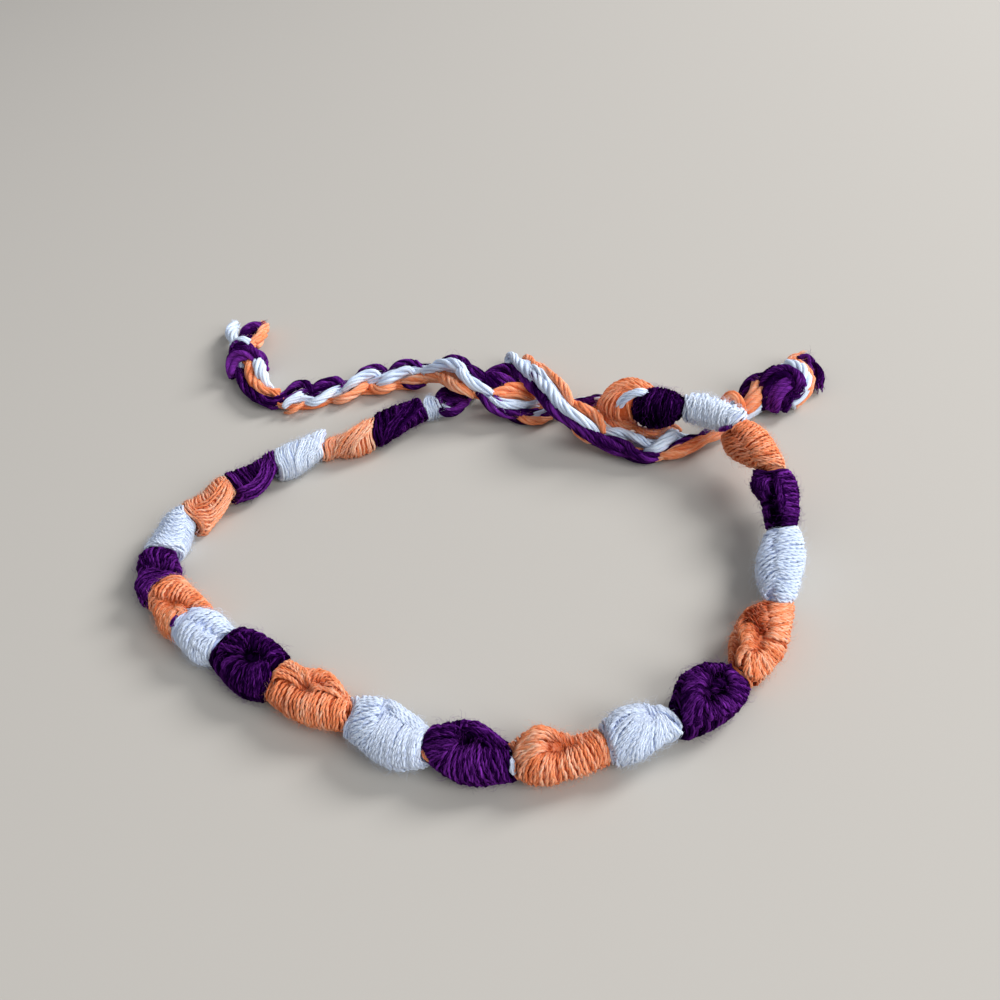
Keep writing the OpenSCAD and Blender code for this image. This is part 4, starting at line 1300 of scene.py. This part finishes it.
@dataclass
class Tie:
    """One tie: two plies twisted together, each of a purple, a white and an orange bundle.

    Sizes are in millimetres. lanes, half_turns and spread are tables by distance along the
    route. Each bundle lies at lane_share of its lane and at drop below it. flat is the height
    of the plies' turn as a share of its width. The ropes seen on top thin out to rope_ends.
    """

    name: str
    cotton: Cotton
    seed: int
    points: tuple[Triple, ...]
    lanes: dict[Cotton, tuple[Triple, ...]]
    half_turns: tuple[tuple[float, float], ...]
    spread: tuple[tuple[float, float], ...]
    ropes: tuple[Rope, ...]
    step: float = 0.45
    ply_radius: float = 0.42
    strand_lay: float = 15.0
    width: float = 3.5
    lane_share: float = 0.85
    drop: float = 0.35
    flat: float = 0.9
    rope_ends: float = 0.55
    rope_hairs: int = 30
    hairs_each: int = 3
    hair_radius: float = 0.008

    def __post_init__(self) -> None:
        """Lays out the route."""
        self.route = Route(self.points)

    @staticmethod
    def read(rows: tuple, far: Array) -> list[Array]:
        """Reads a table at distances along the route, softened between rows.

        Args:
            rows: the table, with the distance in millimetres first in each row.
            far: the distances, in metres.

        Returns:
            The values there of each other column.
        """
        table = np.array(rows)
        window = np.array([1, 2, 3, 2, 1]) / 9
        values = (np.interp(far / MM, table[:, 0], column) for column in table.T[1:])
        return [np.convolve(np.pad(v, 2, mode="edge"), window, mode="valid") for v in values]

    def build(self, palette: Palette) -> Thing:
        """Builds the tie.

        Args:
            palette: the materials.

        Returns:
            The tie's strands as one piece, in place of its solid.
        """
        mid, run, far = self.route.even(self.step * MM)
        side, up = side_and_up(run)
        half_turns, = self.read(self.half_turns, far)
        spread, = self.read(self.spread, far)
        radius = self.ply_radius * MM
        count = round(far[-1] / MM * self.hairs_each)
        parts = []
        for n, cotton in enumerate((P, W, O)):
            skein = Skein(self.seed + n)
            rnd = skein.random
            across, high = self.read(self.lanes[cotton], far)
            for ply in range(2):
                turn = math.pi * (half_turns + ply)
                x = (self.lane_share * across + spread * np.cos(turn)) * MM
                y = (high - self.drop + self.flat * spread * np.sin(turn)) * MM
                line = above(mid + side * x[:, None] + up * y[:, None], radius * 0.96)
                skein.rope(line, radius, 4, self.strand_lay * MM, up + side * 0.01)
                pick = rnd.integers(2, len(line) - 2, count)
                spin = rnd.uniform(0, TURN, count)
                out = swing(side[pick], up[pick], spin)
                lie = unit(run[pick] * rnd.choice([-1, 1], count)[:, None] + out * 0.2)
                skein.hairs(line[pick] + out * radius * 0.95, out, lie,
                            rnd.uniform(0.3, 1.1, count) * MM, self.hair_radius * MM)
            for rope in self.ropes:
                if rope.cotton is cotton:
                    rope.lay(skein, self.rope_ends, self.rope_ends, self.rope_hairs)
            parts.append(skein.mesh(f"{self.name}_{cotton.value}", palette[cotton]))
        return settled(joined(parts, self.name + "_strands"), self.cotton, self.name)

    def declare(self, piece: Thing, on_it: list[Thing]) -> None:
        """Walks the tie's route at each millimetre and keeps nothing.

        Args:
            piece: the tie's strands; not used.
            on_it: its knot and its thread ends; not used.
        """
        path, _, far = self.route.even(1.0 * MM)
        tuple(path[0])
        round(float(far[-1]), 4)
        [tuple(p) for p in path]


# The knots


@dataclass
class Knot:
    """The overhand knot at the end of a tie, and the thread ends past it, in millimetres.

    core_share is the tight middle's half length as a share of the knot's length. Each coil goes
    a little more than once round, along the knot by coil_slant, and the next starts coil_step
    of a turn on. The fibres of the frayed ends flare out and curl.
    """

    name: str
    tie: Tie
    seed: int
    turns: tuple[Rope, ...]
    tips: tuple[Rope, ...]
    tips_cotton: Cotton
    length: float = 4.0
    middle: float = 2.0
    core_share: float = 0.52
    core_width: float = 1.35
    core_height: float = 1.3
    core_drop: float = 0.25
    coil_radius: float = 1.22
    coils: Triple = (0.7, 1.8, 2.9)
    coil_turns: float = 1.08
    coil_step: float = 0.3
    coil_slant: float = 0.5
    coil_lean: float = 0.3
    coil_rope: float = 0.55
    rope_hairs: int = 60
    fibres: int = 50
    fibre_radius: float = 0.045
    fibre_lengths: tuple[float, float] = (0.4, 1.1)
    fibre_flare: tuple[float, float] = (0.05, 0.55)
    fibre_curl: float = 0.12
    tip_seed: int = 40

    def __post_init__(self) -> None:
        """Finds where the tie ends and which way it points there."""
        ends, runs = self.tie.route.at(np.array([float(self.tie.route.spans)]))
        self.start = np.array([ends[0][0], ends[0][1], 0.0])
        self.ahead = unit(np.array([runs[0][0], runs[0][1], 0.0]))
        self.axes = np.array([self.ahead, (self.ahead[1], -self.ahead[0], 0.0), (0, 0, 1)])

    def spot(self, x: Array, y: Array, z: Array, low: float) -> Array:
        """Finds places by the knot, in millimetres.

        Args:
            x: distances ahead of the tie's end.
            y: distances to its side.
            z: heights above the floor.
            low: the least height.

        Returns:
            The places, in metres.
        """
        out = sum(np.outer(v, axis) for v, axis in zip((x, y, z), self.axes)) * MM
        return above(self.start + out, low * MM)

    def core(self, co: Array) -> Array:
        """Shapes the knot's tight middle.

        Args:
            co: the points of a sphere.

        Returns:
            Their places on the middle.
        """
        return self.spot(self.length * (0.5 + co[:, 2] * self.core_share),
                         co[:, 0] * self.core_width,
                         self.middle - self.core_drop + co[:, 1] * self.core_height, 0.1)

    def lay_coils(self, palette: Palette) -> Thing:
        """Lays the purple turns that go all round under the ropes seen on top.

        Args:
            palette: the materials.

        Returns:
            The turns, as one object.
        """
        skein = Skein(self.seed)
        q = np.linspace(0, 1, 36)
        for n, at in enumerate(self.coils):
            theta = TURN * (q * self.coil_turns + n * self.coil_step)
            x = at + self.coil_slant * (q - 0.5) + self.coil_lean * np.cos(theta)
            line = self.spot(x, self.coil_radius * np.cos(theta),
                             self.middle + self.coil_radius * np.sin(theta), 0.5)
            centre = self.spot(x, 0 * x, self.middle + 0 * x, 0)
            skein.rope(line, self.coil_rope * MM, 5, 4 * MM,
                       unit(line - centre) + self.ahead * 0.01)
        return skein.mesh(self.name + "_coils", palette[P])

    def brush(self, rope: Rope, skein: Skein) -> None:
        """Frays the far end of a rope into single fibres.

        Args:
            rope: the rope.
            skein: where the fibres go.
        """
        line, run, _ = rope.route().even(rope.step * MM)
        rnd = skein.random
        s = np.linspace(0, 1, 5)[:, None]
        for _ in range(self.fibres):
            out = unit(rnd.normal(0, 1, 3))
            root = line[-2] + out * rope.radius * 0.75 * MM * math.sqrt(rnd.uniform(0, 1))
            tail = unit(run[-1] + out * rnd.uniform(*self.fibre_flare))
            path = root + tail * s * rnd.uniform(*self.fibre_lengths) * MM
            path += out * self.fibre_curl * MM * np.sin(s * rnd.uniform(2, 5))
            radius = self.fibre_radius * MM * (1 - 0.5 * s[:, 0])
            skein.thread(above(path, 0.03 * MM), radius, 4, np.roll(tail, 1),
                         rnd.uniform(0.3, 1))

    def build(self, palette: Palette) -> list[Thing]:
        """Builds the knot and the loose thread ends.

        Args:
            palette: the materials.

        Returns:
            Both pieces, in place of their solids.
        """
        # The knot's tight middle is painted in shade
        knot = [soft_body(20, 12, self.core, 0.8, palette[P]), self.lay_coils(palette)]
        for n, rope in enumerate(self.turns):
            skein = Skein(self.seed + 1 + n)
            rope.lay(skein, 1.0, 1.0, self.rope_hairs)
            knot.append(skein.mesh(f"{self.name}_turn_{n}", palette[rope.cotton]))
        knot = settled(joined(knot, self.name + "_knot_turns"), P, self.name + "_knot")
        ends = []
        for n, rope in enumerate(self.tips):
            skein = Skein(self.seed + self.tip_seed + n)
            rope.lay(skein, 1.0, 0.8, self.rope_hairs)
            self.brush(rope, skein)
            ends.append(skein.mesh(f"{self.name}_tip_{n}", palette[rope.cotton]))
        return [knot, settled(joined(ends, self.name + "_thread_ends_frayed"), self.tips_cotton,
                              self.name + "_thread_ends")]


# The carriers and the bits of thread between leaves


@dataclass
class Carriers:
    """The bundle of threads inside the band, in millimetres; shade is the painted shade it gets there."""

    route: Route
    count: int = 6
    radius: float = 0.24
    half_width: float = 0.34
    half_height: float = 0.2
    lay: float = 14.0
    step: float = 1.5
    shade: float = 0.3
    seed: int = 7

    def build(self, palette: Palette) -> None:
        """Builds the bundle, in place of its solid.

        Args:
            palette: the materials.
        """
        mid, run, far = self.route.even(self.step * MM)
        side, up = side_and_up(run)
        skein = Skein(self.seed)
        for k in range(self.count):
            turn = far / (self.lay * MM) * TURN + k * TURN / self.count
            line = (mid + side * (self.half_width * MM * np.cos(turn))[:, None]
                    + up * (self.half_height * MM * np.sin(turn))[:, None])
            skein.thread(line, self.radius * MM, 6, up + side * 0.01, k / self.count,
                         self.shade)
        settled(skein.mesh("carrier_threads_bundle", palette[W]), W, "carrier_threads")


@dataclass(frozen=True)
class Fan:
    """Ropes of one cotton laid side by side between two guides.

    The guides are in tenths of a millimetre. turn is the length of one turn of the strands.
    """

    cotton: Cotton
    count: int
    radius: float
    guides: tuple[tuple[int, ...], tuple[int, ...]]
    strands: int = 5
    turn: float = 3.0

    def lay(self, skein: Skein) -> None:
        """Lays the ropes.

        Args:
            skein: where they go.
        """
        q = np.linspace(0, 1, 30)
        edges = []
        for guide in self.guides:
            line = Route(np.reshape(guide, (-1, 3)) / 10).even(0.2 * MM)[0]
            t = np.linspace(0, 1, len(line))
            edges.append(np.stack([np.interp(q, t, column) for column in line.T], axis=1))
        for share in np.arange(self.count) / (self.count - 1):
            skein.rope(edges[0] * (1 - share) + edges[1] * share, self.radius * MM,
                       self.strands, self.turn * MM, np.array(TO_CAMERA))


# Bits of another colour on a leaf: which leaf, the cotton and how its threads lie
PATCHES = (
    ("purple_leaf_5", O, Comb(2, 0.02, ((3, 56, 7, 42, 11, 29), (6, 54, 10, 40, 14, 27)))),
    ("purple_leaf_5", W, Comb(2, 0.3, ((96, 56, 98, 42, 99, 22, 100, 10),
        (99, 58, 100, 42, 100, 24, 100, 14)))),
    ("orange_leaf_6", P, Comb(1, 0.02, ((53, 40, 54, 34, 56, 26), (54, 40, 55, 34, 56, 28)))),
    ("white_leaf_7", P, Comb(3, 0.2, ((12, 165, 15, 207, 2, 186), (6, 128, 3, 171, 0, 176)))),
    ("white_leaf_3", P, Comb(2, 0.1, ((2, 64, 4, 48, 5, 36), (5, 62, 7, 48, 8, 38)))),
)
# The small loop at the band's right end
END_LOOP = (
    Fan(O, 5, 0.36, ((215, 136, 21, 194, 141, 22, 183, 159, 30, 187, 173, 41, 201, 179, 50, 219, 178, 54,
        237, 162, 51, 244, 150, 40), (214, 135, 31, 204, 142, 34, 198, 150, 41, 202, 158, 48,
        215, 160, 53, 232, 149, 54, 240, 142, 42))),
    Fan(W, 2, 0.3, ((197, 149, 29, 196, 144, 36, 197, 144, 46, 201, 145, 55, 209, 143, 62, 221, 140, 65,
        232, 144, 57), (199, 148, 30, 199, 143, 37, 200, 142, 48, 204, 140, 56, 211, 138, 62,
        222, 136, 64, 233, 140, 56))),
)
# A bight of thread that stands up behind the last white leaf
BIGHT = Rope(O, 0.54, (307, 129, 12, 308, 128, 24, 311, 127, 38, 317, 125, 45, 322, 120, 44, 325, 117, 34,
             327, 119, 22, 326, 122, 12))
BITS_SEED = 300


def build_bits(leaves: dict[str, Leaf], palette: Palette) -> None:
    """Lays the bits of thread where the colours change, as one piece for each cotton.

    Args:
        leaves: the leaves, by name.
        palette: the materials.
    """
    for n, cotton in enumerate(Cotton):
        skein = Skein(BITS_SEED + n)
        for name, kind, comb in PATCHES:
            if kind is cotton:
                leaves[name].comb(comb, skein)
        for fan in END_LOOP:
            if fan.cotton is cotton:
                fan.lay(skein)
        if BIGHT.cotton is cotton:
            BIGHT.lay(skein, 0.8, 0.8, 40)
        settled(skein.mesh(cotton.value + "_thread_changes", palette[cotton]), cotton)


# The room


@dataclass(frozen=True)
class Lamp:
    """One soft round lamp: place and size in metres, power in watts and colour."""

    name: str
    place: Triple
    size: float
    power: float
    tint: Triple

    def hang(self) -> None:
        """Hangs the lamp, facing the bracelet."""
        data = bpy.data.lights.new(self.name, "AREA")
        data.shape, data.size, data.energy, data.color = "DISK", self.size, self.power, self.tint
        thing = bpy.data.objects.new(self.name, data)
        bpy.context.scene.collection.objects.link(thing)
        thing.location = self.place
        thing.rotation_euler = (-Vector(self.place)).to_track_quat("-Z", "Y").to_euler()


@dataclass(frozen=True)
class Studio:
    """Camera, floor and soft light from the right, with fill from the front right."""

    eye: Triple = (0.00499, -0.07271, 0.0708)
    pitch: float = 41.0
    roll: float = -12.0
    lens: float = 36.0
    sensor: float = 36.0
    floor_size: float = 6.0
    floor_colour: Triple = (0.557, 0.518, 0.445)
    sky_colour: Triple = (0.86, 0.895, 1.0)
    sky_power: float = 0.39
    lamps: tuple[Lamp, ...] = (
        Lamp("window", (0.75, 0.27, 0.50), 0.40, 8.0, (0.914, 0.933, 1.0)),
        Lamp("front", (0.45, -0.45, 0.40), 0.45, 3.65, (0.905, 0.933, 1.0)))

    def camera(self) -> None:
        """Places the camera at the photograph's angle."""
        data = bpy.data.cameras.new("camera")
        data.lens, data.sensor_width = self.lens, self.sensor
        data.clip_start, data.clip_end = 0.001, 20.0
        thing = bpy.data.objects.new("camera", data)
        bpy.context.scene.collection.objects.link(thing)
        pitch, roll = math.radians(self.pitch), math.radians(self.roll)
        ahead = Vector((0, math.cos(pitch), -math.sin(pitch)))
        flat_right, flat_up = Vector((1, 0, 0)), Vector((0, math.sin(pitch), math.cos(pitch)))
        right = math.cos(roll) * flat_right + math.sin(roll) * flat_up
        up = -math.sin(roll) * flat_right + math.cos(roll) * flat_up
        turn = Matrix((right, up, -ahead)).transposed()
        thing.matrix_world = Matrix.Translation(self.eye) @ turn.to_4x4()
        bpy.context.scene.camera = thing

    def floor(self) -> None:
        """Lays a plain pale floor."""
        bpy.ops.object.select_all(action="DESELECT")
        bpy.ops.mesh.primitive_plane_add(size=self.floor_size, location=(0, 0, 0))
        thing = bpy.context.active_object
        thing.name = "floor"
        material = bpy.data.materials.new("pale floor")
        material.use_nodes = True
        shader = material.node_tree.nodes["Principled BSDF"]
        shader.inputs["Base Color"].default_value = (*self.floor_colour, 1)
        shader.inputs["Roughness"].default_value = 0.8
        shader.inputs["Specular IOR Level"].default_value = 0.2
        thing.data.materials.append(material)
        thing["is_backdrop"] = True

    def light(self) -> None:
        """Lights the bracelet softly."""
        world = bpy.data.worlds.new("room")
        world.use_nodes = True
        back = world.node_tree.nodes["Background"]
        back.inputs[0].default_value = (*self.sky_colour, 1)
        back.inputs[1].default_value = self.sky_power
        bpy.context.scene.world = world
        for lamp in self.lamps:
            lamp.hang()
        bpy.context.scene.view_settings.view_transform = "Standard"


def main() -> None:
    """Builds the bracelet in order and reports each piece."""
    logging.basicConfig(level=logging.INFO, format="%(message)s")
    studio = Studio()
    studio.camera()
    studio.floor()
    studio.light()
    palette = {cotton: finish.build() for cotton, finish in FINISHES.items()}

    left = Tie("left_tie", P, 500, LEFT_ROUTE, LEFT_LANES, LEFT_TURNS, LEFT_SPREAD, LEFT_ROPES)
    right = Tie("right_tie", O, 520, RIGHT_ROUTE, RIGHT_LANES, RIGHT_TURNS, RIGHT_SPREAD,
                RIGHT_ROPES)
    for knot in (Knot("left", left, 600, LEFT_KNOT, LEFT_ENDS, O),
                 Knot("right", right, 700, RIGHT_KNOT, RIGHT_ENDS, W)):
        cord = knot.tie.build(palette)
        knot.tie.declare(cord, knot.build(palette))

    middle = LEAF_HEIGHT / 2 - LEAF_PRESS
    band = Route([(x, y, rise + middle) for x, y, rise in (b.start for b in BAND)])
    leaves = {BAND[i].name: Leaf(i, band) for i in range(len(BAND) - 1)}
    for leaf in leaves.values():
        leaf.build(palette)
    Carriers(band).build(palette)
    build_bits(leaves, palette)

    plain = [[[float(v) for v in corner] for corner in box] for box in (CAD_BOX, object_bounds())]
    {"cad": plain[0], "visual": plain[1]}


if __name__ == "__main__":
    main()
